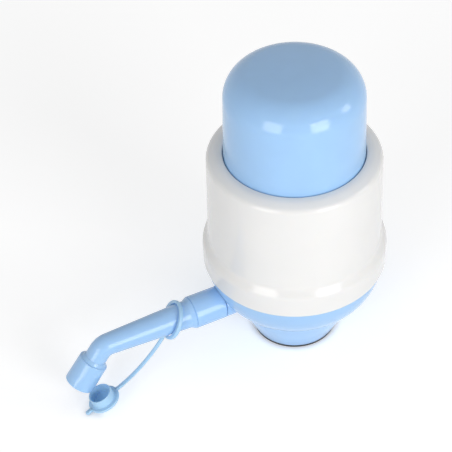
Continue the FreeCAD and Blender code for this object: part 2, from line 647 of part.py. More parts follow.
def outlet_valve():
    """Rubber ring on the elbow's post; it drops to let air from the bellows into the jug."""
    top = spigot_top - VALVE_SEAT_GAP
    return tube(OUTLET_VALVE_R, POST_R + RUN_GAP, top - VALVE_THICKNESS, top)


def valve_clip():
    """Split retaining ring on the post that stops the outlet valve."""
    top = spigot_top - 2 * VALVE_SEAT_GAP - VALVE_THICKNESS - VALVE_LIFT
    ring = tube(CLIP_R, POST_R, top - CLIP_THICKNESS, top)
    gap = centred_box(2 * CLIP_R, POST_R, CLIP_THICKNESS, Vector(CLIP_R, 0, top - CLIP_THICKNESS))
    return ring.cut(gap)


# ---- Jug neck ----
def cone_r(level, inset=0.0):
    """Radius of the neck cone's outer face at a level, moved in by a wall measured square to it."""
    slope = (CONE_TOP_R - cone_bottom_r) / CONE_HEIGHT
    return cone_bottom_r + slope * (level - lip_top) - inset * math.sqrt(1 + slope ** 2)


def neck_cone():
    """Outer cone, the tube that holds the gasket, the ledge over the washer and the ribs between."""
    tube_r = washer_r + NECK_TUBE_WALL
    web_top = lip_top + CONE_WALL
    shell = turned([
        (cone_bottom_r, lip_top), (CONE_TOP_R, cone_top, CONE_EDGE_ROUND), (cone_spigot_r, cone_top),
        (cone_spigot_r, cone_spigot_top), (cone_spigot_r - CONE_SPIGOT_WALL, cone_spigot_top),
        (cone_spigot_r - CONE_SPIGOT_WALL, cone_top - CONE_WALL), (cone_r(web_top, CONE_WALL), web_top),
        (washer_r, web_top), (washer_r, lip_top)])
    inner_tube = tube(tube_r, washer_r, lip_top, ledge_top)
    ledge = tube(tube_r, WASHER_BORE_R, washer_top, ledge_top)
    rib = centred_box(CONE_TOP_R - washer_r, NECK_RIB_WIDTH, ledge_top - web_top,
                      Vector((CONE_TOP_R + washer_r) / 2, 0, web_top))
    room = turned([(washer_r, lip_top), (cone_bottom_r, lip_top), (cone_r(ledge_top), ledge_top),
                   (washer_r, ledge_top)])
    ribs = fused(around(rib, NECK_RIB_COUNT)).common(room)
    return fused([shell, inner_tube, ledge, ribs])


def neck_gasket():
    """Rubber sleeve that grips the jug's neck, with the lip that the pump rests on."""
    return turned([
        (NECK_BORE_R, 0), (gasket_lip_r, 0, GASKET_LIP_ROUND), (gasket_lip_r, lip_top), (washer_r, lip_top),
        (washer_r, NECK_DEPTH), (NECK_BORE_R, NECK_DEPTH)])


def neck_washer():
    return tube(washer_r, WASHER_BORE_R, NECK_DEPTH, washer_top)


# ---- Spout ----
def tip_frame():
    """Where the spout's centrelines meet, and the direction of its tip."""
    angle = math.radians(BEND_ANGLE)
    return SPOUT_START + SPOUT_AXIS * elbow_reach, Vector(-math.cos(angle), 0, -math.sin(angle))


def bent_tube(radius_start, radius_end, start, tip_length):
    """Tapered run, bend and tip of the spout, as one solid about its centreline."""
    corner, tip = tip_frame()
    bend_start = elbow_reach - bend_tangent
    run = turned([(0, start), (radius_start, start), (radius_end, bend_start), (0, bend_start)],
                 SPOUT_START, SPOUT_AXIS)
    circle = Part.makeCircle(radius_end, SPOUT_START + SPOUT_AXIS * bend_start, SPOUT_AXIS)
    pivot = SPOUT_START + SPOUT_AXIS * bend_start - UP * BEND_R
    bend = Part.Face(Part.Wire(circle)).revolve(pivot, Vector(0, -1, 0), BEND_ANGLE)
    end = rod(radius_end, bend_tangent, tip_length, corner, tip)
    return fused([run, bend, end])


def spout_arm():
    """Spigot, sleeve, tapered tube and bend, with the water's bore right through."""
    sleeve = turned([
        (0, spigot_end), (SPOUT_SPIGOT_R, spigot_end, SPOUT_SPIGOT_ROUND), (SPOUT_SPIGOT_R, sleeve_start),
        (sleeve_r, sleeve_start, SLEEVE_SEAM_ROUND), (sleeve_r, tube_start - SLEEVE_STEP, SLEEVE_EDGE_ROUND),
        (TUBE_START_R, tube_start), (0, tube_start)], SPOUT_START, SPOUT_AXIS)
    tip_end = NOZZLE_START + TIP_SOCKET
    outside = fused([sleeve, bent_tube(TUBE_START_R, TIP_TUBE_R, tube_start, tip_end)])
    bore = bent_tube(SPOUT_BORE_R, SPOUT_BORE_END_R, spigot_end, tip_end)
    grooves = []
    for place in spout_seal_places():
        grooves.append(tube(SPOUT_SPIGOT_R + SEAT_GAP, SPOUT_SPIGOT_R - 2 * RING_SEAL_R, place - RING_SEAL_R,
                            place + RING_SEAL_R, SPOUT_START, SPOUT_AXIS))
    return outside.cut([bore] + grooves)


def spout_seal_places():
    first = spigot_end + SPOUT_SPIGOT_LENGTH / 2 - SPOUT_SEAL_PITCH * (SPOUT_SEALS - 1) / 2
    return [first + i * SPOUT_SEAL_PITCH for i in range(SPOUT_SEALS)]


def spout_seals():
    mean_r = SPOUT_SPIGOT_R - RING_SEAL_R
    rings = [seal(mean_r, RING_SEAL_R, place, SPOUT_START, SPOUT_AXIS) for place in spout_seal_places()]
    return Part.Compound(rings)


def spout_nozzle():
    corner, tip = tip_frame()
    end = NOZZLE_START + NOZZLE_LENGTH
    bore_start = end - NOZZLE_BORE_LENGTH
    socket_end = NOZZLE_START + TIP_SOCKET
    socket_r = TIP_TUBE_R + RUN_GAP
    return turned([(socket_r, NOZZLE_START), (nozzle_top_r, NOZZLE_START, NOZZLE_ROUND), (nozzle_end_r, end),
                   (NOZZLE_BORE_R, end), (NOZZLE_BORE_R, bore_start), (SPOUT_BORE_R, socket_end + SEAT_GAP),
                   (socket_r, socket_end + SEAT_GAP)], corner, tip)


# ---- Tether ----
def ring_frame():
    """Centre of the loose ring, its axis, and the direction of its lug."""
    angle = math.radians(RING_TILT)
    turn = Rotation(UP, -RING_TURN)
    centre = SPOUT_START + SPOUT_AXIS * ring_reach - UP * RING_DROP
    axis = turn.multVec(Vector(-math.cos(angle), 0, math.sin(angle)))
    down = turn.multVec(Vector(-math.sin(angle), 0, -math.cos(angle)))
    return centre, axis, down


def dust_frame():
    """Axis of the dust cap, the way its tab points, and the direction across."""
    turn = Rotation(UP, 180 - DUST_TURN)
    lean = turn.multiply(Rotation(Vector(0, 1, 0), DUST_LEAN))
    axis = lean.multVec(UP)
    downhill = lean.multVec(Vector(1, 0, 0))
    tab = Rotation(axis, DUST_STRAP_TURN).multVec(downhill)
    return axis, tab, axis.cross(tab)


def strap_ends():
    """Centres of the strap's two rounded ends, beside the ring's lug and the dust cap's lug."""
    centre, axis, down = ring_frame()
    cap_axis, tab, across = dust_frame()
    end_r = STRAP_THICKNESS / 2
    first = centre + down * (RING_INNER_R + RING_WALL + RING_LUG_LENGTH + LUG_GAP + end_r)
    last = dust_centre - tab * (DUST_FLANGE_R + DUST_LUG_LENGTH + LUG_GAP + end_r)
    return first, last


def strap_middle():
    """The strap leaves the ring's lug straight, so it sags in the plane that holds the lug."""
    first, last = strap_ends()
    chord = (last - first).normalize()
    lug = ring_frame()[2]
    sag = (lug - chord * lug.dot(chord)).normalize()
    return (first + last) * 0.5 + sag * STRAP_SAG


def strap_bend():
    """Direction square to the plane that the strap bends in."""
    first, last = strap_ends()
    return (last - first).cross(strap_middle() - first).normalize()


def slab(middle, along, across, length, width, thickness):
    """Box centred on a point, along one direction and across another."""
    box = Part.makeBox(length, width, thickness, Vector(-length / 2, -width / 2, -thickness / 2))
    frame = Rotation(along, across, along.cross(across), "XYZ")
    box.Placement = Placement(middle, frame)
    return box


def tether_ring():
    centre, axis, down = ring_frame()
    half = RING_WIDTH / 2
    outer_r = RING_INNER_R + RING_WALL
    band = turned([(RING_INNER_R, -half, RING_INNER_ROUND), (outer_r, -half, RING_OUTER_ROUND),
                   (outer_r, half, RING_OUTER_ROUND), (RING_INNER_R, half, RING_INNER_ROUND)], centre, axis)
    lug_start = RING_INNER_R + RING_WALL / 2
    lug_end = outer_r + RING_LUG_LENGTH
    lug = slab(centre + down * ((lug_start + lug_end) / 2), down, strap_bend(), lug_end - lug_start,
               STRAP_WIDTH, STRAP_THICKNESS)
    return fused([band, lug])


def cap_strap():
    """Moulded strap, one gentle arc with round ends where it flexes."""
    first, last = strap_ends()
    bend = strap_bend()
    arc = Part.Arc(first, strap_middle(), last)
    start_direction = arc.tangent(arc.FirstParameter)[0]
    thick = bend.cross(start_direction)
    half_w = bend * (STRAP_WIDTH / 2)
    half_t = thick * (STRAP_THICKNESS / 2)
    corners = [first + half_w + half_t, first - half_w + half_t, first - half_w - half_t,
               first + half_w - half_t, first + half_w + half_t]
    section = Part.makePolygon(corners)
    body = Part.Wire(arc.toShape()).makePipeShell([section], True, False)
    across = dust_frame()[2]
    ends = [rod(STRAP_THICKNESS / 2, -STRAP_WIDTH / 2, STRAP_WIDTH / 2, end, axis)
            for end, axis in ((first, bend), (last, across))]
    return fused([body] + ends)


def dust_cap():
    """Flange, hollow plug, pull tab and the lug that the strap flexes on."""
    axis, tab, across = dust_frame()
    half = DUST_FLANGE_THICKNESS / 2
    plug_end = half + DUST_PLUG_HEIGHT
    floor = DUST_PLUG_WALL - half
    body = turned([
        (0, -half), (DUST_FLANGE_R, -half, DUST_FLANGE_ROUND), (DUST_FLANGE_R, half, DUST_FLANGE_ROUND),
        (dust_plug_r, half), (dust_plug_tip_r, plug_end, DUST_PLUG_ROUND),
        (dust_plug_tip_r - DUST_PLUG_WALL, plug_end, DUST_PLUG_ROUND),
        (dust_plug_r - DUST_PLUG_WALL, floor), (0, floor)], dust_centre, axis)
    lug_start = DUST_FLANGE_R - DUST_LUG_LENGTH
    lug_end = DUST_FLANGE_R + DUST_LUG_LENGTH
    lug = slab(dust_centre - tab * ((lug_start + lug_end) / 2), tab, across, lug_end - lug_start,
               STRAP_WIDTH, DUST_FLANGE_THICKNESS)
    tab_end = DUST_FLANGE_R + DUST_TAB_LENGTH - DUST_TAB_WIDTH / 2
    pull = slab(dust_centre + tab * ((lug_start + tab_end) / 2), tab, across, tab_end - lug_start,
                DUST_TAB_WIDTH, DUST_FLANGE_THICKNESS)
    round_end = rod(DUST_TAB_WIDTH / 2, -half, half, dust_centre + tab * tab_end, axis)
    return fused([body, lug, pull, round_end])


PIECES = [
    push_cap, pressing_plate, plate_screws, intake_valve, bellows, bellows_top_ring, bellows_base_ring,
    base_ring_screws, return_spring, housing_shell, valve_deck, deck_screws, deck_seal, housing_seal,
    base_bowl, water_elbow, elbow_screw, elbow_seal, outlet_valve, valve_clip, neck_cone, neck_gasket,
    neck_washer, spout_arm, spout_seals, spout_nozzle, tether_ring, cap_strap, dust_cap]


def main():
    os.makedirs("parts", exist_ok=True)
    for piece in PIECES:
        shape = piece()
        shape.exportStep(os.path.join("parts", piece.__name__ + ".step"))
        box = shape.BoundBox
        print("%-18s solids %d valid %s volume %.0f  x %.1f..%.1f  y %.1f..%.1f  z %.1f..%.1f" % (
            piece.__name__, len(shape.Solids), shape.isValid(), shape.Volume,
            box.XMin, box.XMax, box.YMin, box.YMax, box.ZMin, box.ZMax))
    print("strap's hinges", *strap_ends(), "bending about", strap_bend())
    print("dust cap's axis, tab and across", *dust_frame())


main()
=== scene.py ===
import json
import math
from functools import cache, partial

import bmesh
import bpy
from mathutils import Matrix, Vector


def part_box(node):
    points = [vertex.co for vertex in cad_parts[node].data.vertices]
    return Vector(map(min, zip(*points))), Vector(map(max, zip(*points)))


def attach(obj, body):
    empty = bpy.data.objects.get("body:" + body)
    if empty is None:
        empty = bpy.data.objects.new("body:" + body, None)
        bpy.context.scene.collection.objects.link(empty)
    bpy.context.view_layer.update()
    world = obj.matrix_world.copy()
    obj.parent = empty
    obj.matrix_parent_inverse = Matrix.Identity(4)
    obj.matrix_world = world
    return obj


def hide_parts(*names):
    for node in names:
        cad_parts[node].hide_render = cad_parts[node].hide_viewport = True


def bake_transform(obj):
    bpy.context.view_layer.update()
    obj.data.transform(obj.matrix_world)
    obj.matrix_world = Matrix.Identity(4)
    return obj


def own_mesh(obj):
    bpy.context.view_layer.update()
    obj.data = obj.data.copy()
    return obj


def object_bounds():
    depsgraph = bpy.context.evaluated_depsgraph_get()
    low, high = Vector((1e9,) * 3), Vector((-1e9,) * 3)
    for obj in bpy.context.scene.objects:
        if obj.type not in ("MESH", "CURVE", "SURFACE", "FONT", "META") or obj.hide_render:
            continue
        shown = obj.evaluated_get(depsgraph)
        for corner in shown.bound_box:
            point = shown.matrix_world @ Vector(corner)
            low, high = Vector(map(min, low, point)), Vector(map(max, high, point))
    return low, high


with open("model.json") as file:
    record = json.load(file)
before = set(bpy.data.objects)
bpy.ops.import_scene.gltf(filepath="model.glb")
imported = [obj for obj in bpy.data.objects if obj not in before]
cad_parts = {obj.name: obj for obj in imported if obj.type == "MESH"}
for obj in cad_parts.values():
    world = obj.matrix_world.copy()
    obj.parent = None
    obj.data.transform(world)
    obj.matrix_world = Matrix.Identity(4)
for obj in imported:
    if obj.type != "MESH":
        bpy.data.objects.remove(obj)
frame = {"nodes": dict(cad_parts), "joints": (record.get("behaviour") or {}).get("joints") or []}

bl_info = {
    "name": "Jug hand pump",
    "version": (1, 0, 0),
    "blender": (4, 5, 0),
    "location": "View3D > Sidebar > Pump",
    "description": "Makes the visible pieces, finishes and stage of a press-cap hand pump for a water jug",
    "category": "Object",
}

MM = 0.001
FULL_TURN = 2 * math.pi
UP = Vector((0, 0, 1))
SIDE = Vector((0, 1, 0))
CAD_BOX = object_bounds()


def hinge(name):
    """Place and direction of a joint."""
    found = next(joint for joint in frame["joints"] if joint["name"] == name)
    return Vector(found["pos_m"]), Vector(found["axis"]).normalized()


# Levels, radii and directions that the packed frame gives
CAP_LOW, CAP_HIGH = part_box("push_cap")
HOUSING_LOW, HOUSING_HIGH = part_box("housing_shell")
CONE_LOW, CONE_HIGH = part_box("neck_cone")
GASKET_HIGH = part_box("neck_gasket")[1]
PLATE_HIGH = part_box("pressing_plate")[1]
BELLOWS_LOW, BELLOWS_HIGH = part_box("bellows")
SPOUT_PIVOT, SPOUT_AXIS = hinge("spout_turn")
STRAP_START, STRAP_BEND = hinge("strap_flex")
STRAP_END, DUST_ACROSS = hinge("dust_cap_flex")

# Steps round the turned bodies, along the bend, and round the coil and its wire
SHELL_STEPS = 256
NECK_STEPS = 192
SOFT_STEPS = 128
SPOUT_STEPS = 96
POST_STEPS = 32
BEND_STEPS = 20
COIL_STEPS = 48
WIRE_STEPS = 14

# Steps of small roundings
TIP_STEPS = 12
FILLET_STEPS = 5
BEVEL_STEPS = 3

MERGE_DISTANCE = 1e-6
LEVEL_TOLERANCE = 1e-7
BODY_SHARP_ANGLE = math.radians(32)
BOWL_SHARP_ANGLE = math.radians(28)
STRAP_SHARP_ANGLE = math.radians(50)
COIL_SHARP_ANGLE = math.radians(60)


# ---- Properties ----
def real(description, default, **limits):
    return partial(bpy.props.FloatProperty, description=description, default=default, **limits)


def length(description, millimetres):
    return real(description, millimetres * MM, min=0, precision=5, unit="LENGTH")


def turn(description, degrees):
    return real(description, math.radians(degrees), unit="ROTATION")


def share(description, default):
    return real(description, default, min=0, max=1, subtype="FACTOR")


def power(description, watts):
    return real(description, watts, min=0, unit="POWER")


def number(description, default):
    return partial(bpy.props.IntProperty, description=description, default=default, min=1)


def triple(description, default, **limits):
    return partial(bpy.props.FloatVectorProperty, description=description, default=default, size=3, **limits)


def colour(description, red, green, blue):
    return triple(description, (red, green, blue), min=0, max=1, subtype="COLOR")


def place(description, x, y, z):
    return triple(description, (x * MM, y * MM, z * MM), precision=5, subtype="TRANSLATION")


def named(group):
    """Makes a group's properties, each named after its key."""
    for key, make in group.__annotations__.items():
        group.__annotations__[key] = make(name=key.replace("_", " ").capitalize())
    return group


@named
class PumpCapSizes(bpy.types.PropertyGroup):
    """Push cap."""
    radius: length("Outer radius where the cap enters the housing", 37.05)
    draft: length("How much narrower the cap is below its dome", 0.75)
    dome_round: length("Radius of the dome's rounded edge", 15.2)
    crown_radius: length("Radius of the nearly flat crown", 200)
    wall: length("Thickness of the cap's wall", 2.2)
    flange_height: length("Height of the flange that keeps the cap in", 2.5)
    flange_round: length("Rounding of the flange's edges", 0.4)
    post_radius: length("Radius of the screw posts", 3.2)
    post_place: length("Distance of the posts from the axis", 28.85)
    post_height: length("Height of a post or rib before its top is raised to the dome", 8)
    post_foot: length("Lower part of a post or rib that stays as it is", 1)
    posts: number("How many screw posts hold the pressing plate", 3)
    rib_start: length("Inner end of a pressing rib", 13)
    rib_end: length("Outer end of a pressing rib", 26)
    rib_width: length("Width of a pressing rib", 2)
    rib_round: length("Rounding of a pressing rib's edges", 0.2)
    ribs: number("How many pressing ribs the cap has", 4)


@named
class PumpHousingSizes(bpy.types.PropertyGroup):
    """White housing."""
    wall: length("Thickness of the housing's wall", 2.4)
    top_wall: length("Thickness of the housing's top", 2.6)
    band_round: length("Rounding of the band's lower edge", 1.2)
    flare_low: length("Level where the band turns into the flare", 64.15)
    flare_high: length("Level where the flare turns into the wall", 68.45)
    flare_round: length("Rounding at each end of the flare", 6)
    waist_radius: length("Outer radius of the wall above the flare", 46.9)
    shoulder_radius: length("Outer radius of the wall below the shoulder", 46.1)
    crown_radius: length("Radius where the housing's top starts to fall outwards", 40.5)
    crown_drop: length("How far the top falls to the shoulder", 2.6)
    crown_round: length("Rounding where the top starts to fall", 10)
    shoulder_round: length("Rounding of the shoulder", 3.8)
    opening_radius: length("Radius of the hole that the cap slides in", 37.45)
    opening_round: length("Rounding of the opening's edge", 0.5)
    rib_start: length("Inner edge of a guide rib", 40.45)
    rib_end: length("Outer edge of a guide rib, inside the wall", 44.6)
    rib_low: length("Level of a guide rib's lower end", 86.4)
    rib_width: length("Width of a guide rib", 2)
    rib_bite: length("How far a guide rib reaches into the top", 0.2)
    rib_round: length("Rounding of a guide rib's edges", 0.2)
    ribs: number("How many ribs guide the cap's flange", 6)


@named
class PumpNeckSizes(bpy.types.PropertyGroup):
    """Neck cone and gasket."""
    foot_radius: length("Outer radius at the cone's foot", 23.3)
    top_level: length("Level of the cone's top edge", 26.8)
    edge_round: length("Rounding of the cone's top edge", 0.4)
    wall: length("Thickness of the cone's wall", 2.2)
    spigot_radius: length("Outer radius of the spigot in the bowl", 33.1)
    spigot_wall: length("Thickness of the spigot", 2)
    tube_radius: length("Outer radius of the tube round the gasket", 22.6)
    ledge_low: length("Level of the ledge over the washer", 21)
    ledge_high: length("Level of the ledge's top", 23)
    ledge_bore: length("Radius of the hole in the ledge", 14.5)
    rib_width: length("Width of a rib between tube and cone", 1.8)
    rib_bite: length("How far a rib reaches into the tube", 0.5)
    rib_round: length("Rounding of a rib's edges", 0.15)
    ribs: number("How many ribs stiffen the cone", 8)
    gasket_bore: length("Radius of the gasket's bore", 19.2)
    gasket_radius: length("Outer radius of the gasket inside the cone", 20.8)
    # The lift leaves more of the gasket's black lip in view. The lip is the real seal and also serves as a
    # painted shadow line under the cone's rim.
    foot_lift: length("How far the cone's foot stands above the top of the gasket's lip", 0.35)
    foot_round: length("Rounding of the cone's foot", 0.3)
    lip_round: length("Rounding of the gasket's lip", 0.4)


@named
class PumpSpoutSizes(bpy.types.PropertyGroup):
    """Spout arm and nozzle; places are measured from the pump's axis along the arm."""
    spigot_start: length("Inner end of the spigot", 37.1)
    spigot_radius: length("Radius of the spigot in the boss", 6.2)
    spigot_round: length("Rounding of the spigot's end", 0.4)
    groove_pitch: length("Distance between the seal grooves", 3)
    groove_width: length("Width of a seal groove", 1.3)
    grooves: number("How many seal grooves the spigot has", 2)
    boss_gap: length("Gap between the boss and the sleeve", 0.15)
    sleeve_start: length("Where the sleeve begins, just past the boss", 45.85)
    sleeve_end: length("Where the sleeve's slope meets the tube", 66.45)
    sleeve_radius: length("Outer radius of the sleeve", 9.1)
    sleeve_step: length("Length of the sleeve's sloping end", 2.4)
    crease_width: length("Width of the crease between the sleeve and its slope", 0.5)
    crease_depth: length("Depth of that crease", 0.6)
    slope_drop: length("How much lower than the sleeve its slope begins", 0.2)
    sleeve_round: length("Rounding of the sleeve's end", 0.25)
    seam_round: length("Rounding of the sleeve's edge at the boss", 0.8)
    step_root: length("Rounding where the slope meets the tube", 0.6)
    tube_radius: length("Radius of the tube next to the sleeve", 7.7)
    tip_radius: length("Radius of the tube from the bend on", 6)
    bore: length("Radius of the water's bore", 4)
    bore_end: length("Radius of the bore from the bend on", 3.8)
    corner: length("Where the centrelines of arm and tip meet", 115.9)
    bend_radius: length("Radius of the bend's centreline", 7)
    bend_angle: turn("How far the tip points below the arm", 53.4)
    tip_length: length("Length of the tip past the corner", 15.2)
    nozzle_start: length("Distance of the nozzle's top from the corner", 10.2)
    nozzle_end: length("Distance of the nozzle's mouth from the corner", 26.4)
    nozzle_top_radius: length("Outer radius of the nozzle's top", 8.1)
    nozzle_end_radius: length("Outer radius of the nozzle's mouth", 8.3)
    nozzle_round: length("Rounding of the nozzle's top edge", 0.6)
    collar_length: length("Length of the collar above the nozzle's top", 2)
    collar_wall: length("Thickness of the collar at its upper edge", 0.12)
    collar_flare: length("How much thicker the collar is at the nozzle", 1.1)
    collar_round: length("Rounding where the collar meets the nozzle", 0.3)
    socket_gap: length("Gap round the tip in the nozzle's socket", 0.05)
    socket_depth_gap: length("Gap between the tip's end and the socket's floor", 0.1)
    mouth_round: length("Rounding of the mouth's edges", 0.3)
    nozzle_bore: length("Radius of the mouth that the dust cap plugs", 6.8)
    nozzle_bore_start: length("Distance of the mouth's floor from the corner", 18.4)


@named
class PumpTetherSizes(bpy.types.PropertyGroup):
    """Ring, strap and dust cap."""
    ring_place: place("Centre of the ring", -75, 0, 34.7)
    ring_tilt: turn("How far the strap's pull leans the ring", 27.5)
    ring_turn: turn("How far it turns the ring about the vertical", 11.5)
    ring_inner: length("Radius of the ring's hole", 9.45)
    ring_oval: share("How much narrower the hole is across, where the soft ring hugs the tube", 0.12)
    ring_outer: length("Outer radius of the ring", 10.8)
    ring_width: length("Width of the ring", 2.2)
    ring_inner_round: length("Rounding of the ring's inner edges", 0.5)
    ring_outer_round: length("Rounding of the ring's outer edges", 0.6)
    lug_start: length("Where the lug begins, inside the ring's wall", 10.125)
    lug_end: length("Where the lug ends, from the ring's centre", 12.1)
    lug_round: length("Rounding of the lug's edges", 0.4)
    strap_width: length("Width of the strap", 2.1)
    strap_thickness: length("Thickness of the strap", 1.5)
    strap_round: length("Rounding of the strap's edges", 0.6)
    strap_sag: length("How far the strap's middle hangs off its chord", 6)
    strap_steps: number("Pieces along the strap", 64)
    neck_length: length("Length of the flexing neck at each end of the strap", 3.4)
    dust_place: place("Centre of the dust cap's flange", -122.2, -9.8, 5.1)
    flange_radius: length("Radius of the dust cap's flange", 8.9)
    flange_thickness: length("Thickness of the flange, tab and lug", 1.6)
    flange_round: length("Rounding of the flange's edges", 0.5)
    plug_radius: length("Outer radius of the plug at the flange", 6.7)
    plug_end_radius: length("Outer radius at the plug's end", 6.45)
    plug_height: length("Height of the plug over the flange", 4.9)
    plug_wall: length("Thickness of the plug's wall and floor", 0.8)
    plug_round: length("Rounding of the plug's rim", 0.3)
    plug_root: length("Rounding where the plug meets the flange", 0.3)
    floor_round: length("Rounding of the plug's floor", 0.4)
    tab_round: length("Rounding of the tab's and the lug's edges", 0.35)
    tab_length: length("How far the pull tab stands out", 3.5)
    tab_width: length("Width of the pull tab", 2.4)
    dust_lug_length: length("How far the dust cap's lug stands out", 1.1)


@named
class PumpSqueezeSizes(bpy.types.PropertyGroup):
    """Bellows and return spring."""
    neck_radius: length("Outer radius between the bellows' folds", 27.55)
    fold_depth: length("How far a fold stands out", 5.2)
    wall: length("Thickness of the bellows", 1.1)
    folds: number("How many folds the bellows has", 9)
    low_neck: length("Straight length between the lower flange and the folds", 4)
    high_neck: length("Straight length between the folds and the upper flange, past the screw heads", 7.6)
    flange: length("Thickness of the bellows' flanges", 2)
    fold_round: length("Rounding of a fold's crest and root", 0.5)
    low_flange_radius: length("Outer radius of the lower flange", 37.15)
    high_flange_radius: length("Outer radius of the upper flange", 32.75)
    spring_radius: length("Mean radius of the return spring", 18)
    spring_wire: length("Radius of the spring's wire", 1)
    spring_turns: number("Turns of the return spring", 10)
    travel: length("How far the cap is pressed down", 30)


@named
class PumpColours(bpy.types.PropertyGroup):
    """Colours of the finishes."""
    blue: colour("Gloss blue plastic of cap, base and spout", 0.365, 0.605, 0.93)
    white: colour("Gloss white plastic of the housing", 0.84, 0.835, 0.825)
    tether: colour("Softer blue of ring, strap and dust cap", 0.415, 0.655, 0.895)
    rubber: colour("Black rubber of gasket, washer and seals", 0.022, 0.02, 0.019)
    bellows: colour("Pale rubber of the bellows", 0.48, 0.49, 0.48)
    inner: colour("Natural plastic of the inner parts", 0.71, 0.74, 0.74)
    steel: colour("Zinc-plated screws and spring", 0.55, 0.56, 0.58)
    floor: colour("Pale floor", 0.9, 0.9, 0.9)


@named
class PumpStage(bpy.types.PropertyGroup):
    """Camera, lamps and floor."""
    aim: place("Point that the camera looks at", -33.44, 15.64, 72.78)
    distance: length("Distance of the camera from its aim", 820.79)
    azimuth: turn("Direction of the camera about the vertical", -25.058)
    elevation: turn("Height of the camera above the horizon", 42.395)
    roll: turn("Turn of the camera about its own view", -2.346)
    lens: real("Focal length of the camera", 121.14, min=1, unit="CAMERA")
    floor_size: length("Side of the square floor", 8000)
    floor_glow: share("White that a camera's view of the floor adds", 0.44)
    far_glow: share("White that it adds where the lamps no longer reach", 0.62)
    near_floor: length("Distance up to which the floor has its own glow", 250)
    far_floor: length("Distance from which it has the far glow", 1500)
    contact_shade: length("Reach of the shade close round what stands on the floor", 4)
    sky: share("Strength of the even light from all sides", 0.42)
    box_width: length("Width of each softbox", 760)
    box_height: length("Height of each softbox", 1000)
    box_distance: length("Distance of the softboxes from the pump", 1600)
    left_power: power("Power of the softbox on the spout's side", 8.3)
    left_azimuth: turn("Direction of the left softbox", -61)
    right_power: power("Power of the softbox at the front", 11.4)
    right_azimuth: turn("Direction of the right softbox", 10)
    box_elevation: turn("Height of the softboxes' middles above the horizon", 14)
    fill_power: power("Power of the small lamp on the far side", 2.2)
    fill_azimuth: turn("Direction of the fill lamp", 61)
    fill_elevation: turn("Height of the fill lamp above the horizon", 21)


GROUPS = {
    "pump_cap": PumpCapSizes,
    "pump_housing": PumpHousingSizes,
    "pump_neck": PumpNeckSizes,
    "pump_spout": PumpSpoutSizes,
    "pump_tether": PumpTetherSizes,
    "pump_squeeze": PumpSqueezeSizes,
    "pump_colours": PumpColours,
    "pump_stage": PumpStage,
}


# ---- Outlines ----
def arc(centre, radius, start, end, steps):
    """Points of an arc in the plane of radius and height; angles are measured from the radius's direction."""
    points = []
    for i in range(steps + 1):
        angle = start + (end - start) * i / steps
        points.append((centre[0] + radius * math.cos(angle), centre[1] + radius * math.sin(angle)))
    return points


def arc_between(centre, radius, first, last, steps):
    """Points of the arc that goes the short way from one place to another, both seen from its centre."""
    start = math.atan2(first.y, first.x)
    sweep = math.atan2(first.x * last.y - first.y * last.x, first.dot(last))
    return arc(centre, radius, start, start + sweep, steps)


def outline(corners, steps=8):
    """(radius, height) points from corners; a third value rounds that corner."""
    points = []
    for i, corner in enumerate(corners):
        here = Vector(corner[:2])
        if len(corner) < 3:
            points.append(tuple(here))
            continue
        before = (Vector(corners[i - 1][:2]) - here).normalized()
        after = (Vector(corners[(i + 1) % len(corners)][:2]) - here).normalized()
        half = before.angle(after) / 2
        bisector = (before + after).normalized()
        centre = here + bisector * (corner[2] / math.sin(half))
        first = here + before * (corner[2] / math.tan(half)) - centre
        last = here + after * (corner[2] / math.tan(half)) - centre
        points += arc_between(centre, corner[2], first, last, steps)
    return points


def three_point_arc(start, middle, end, steps):
    """Points of the arc from start to end whose middle is given."""
    start, middle, end = Vector(start), Vector(middle), Vector(end)
    chord = (end - start).length
    rise = (middle - (start + end) / 2).length
    radius = (chord * chord / 4 + rise * rise) / (2 * rise)
    inward = ((start + end) / 2 - middle).normalized()
    centre = middle + inward * radius
    return arc_between(centre, radius, start - centre, end - centre, steps)


def with_stops(points, stops):
    """The outline with a point added wherever it crosses one of the given heights."""
    result = []
    for (r0, z0), (r1, z1) in zip(points, points[1:] + points[:1]):
        result.append((r0, z0))
        inside = [z for z in stops if min(z0, z1) + LEVEL_TOLERANCE < z < max(z0, z1) - LEVEL_TOLERANCE]
        for z in sorted(inside, reverse=z1 < z0):
            result.append((r0 + (r1 - r0) * (z - z0) / (z1 - z0), z))
    return result


# ---- Geometry node trees ----
SOCKETS = {bool: "NodeSocketBool", int: "NodeSocketInt", float: "NodeSocketFloat"}


def new_tree(name, defaults):
    """Empty geometry tree; gives the tree and its inputs: a geometry, the named ones and a material."""
    tree = bpy.data.node_groups.new(name, "GeometryNodeTree")
    face = tree.interface
    face.new_socket("Geometry", in_out="INPUT", socket_type="NodeSocketGeometry")
    for key, default in defaults.items():
        face.new_socket(key, in_out="INPUT", socket_type=SOCKETS[type(default)]).default_value = default
    face.new_socket("Material", in_out="INPUT", socket_type="NodeSocketMaterial")
    face.new_socket("Geometry", in_out="OUTPUT", socket_type="NodeSocketGeometry")
    return tree, tree.nodes.new("NodeGroupInput").outputs


def wire(tree, made, **links):
    """Links or sets a node's inputs, named with _ for a space, or numbered as i0.

    A node that is given as a value stands for its first output.
    """
    for key, value in links.items():
        by_number = key[0] == "i" and key[1:].isdigit()
        socket = made.inputs[int(key[1:]) if by_number else key.replace("_", " ")]
        if isinstance(value, bpy.types.Node):
            value = value.outputs[0]
        if isinstance(value, bpy.types.NodeSocket):
            tree.links.new(value, socket)
        else:
            socket.default_value = value


def node(tree, kind, settings=None, **links):
    """New node with its settings and inputs."""
    made = tree.nodes.new(kind)
    for key, value in (settings or {}).items():
        setattr(made, key, value)
    wire(tree, made, **links)
    return made


def maths(tree, operation, first, second=0.0):
    return node(tree, "ShaderNodeMath", {"operation": operation}, i0=first, i1=second)


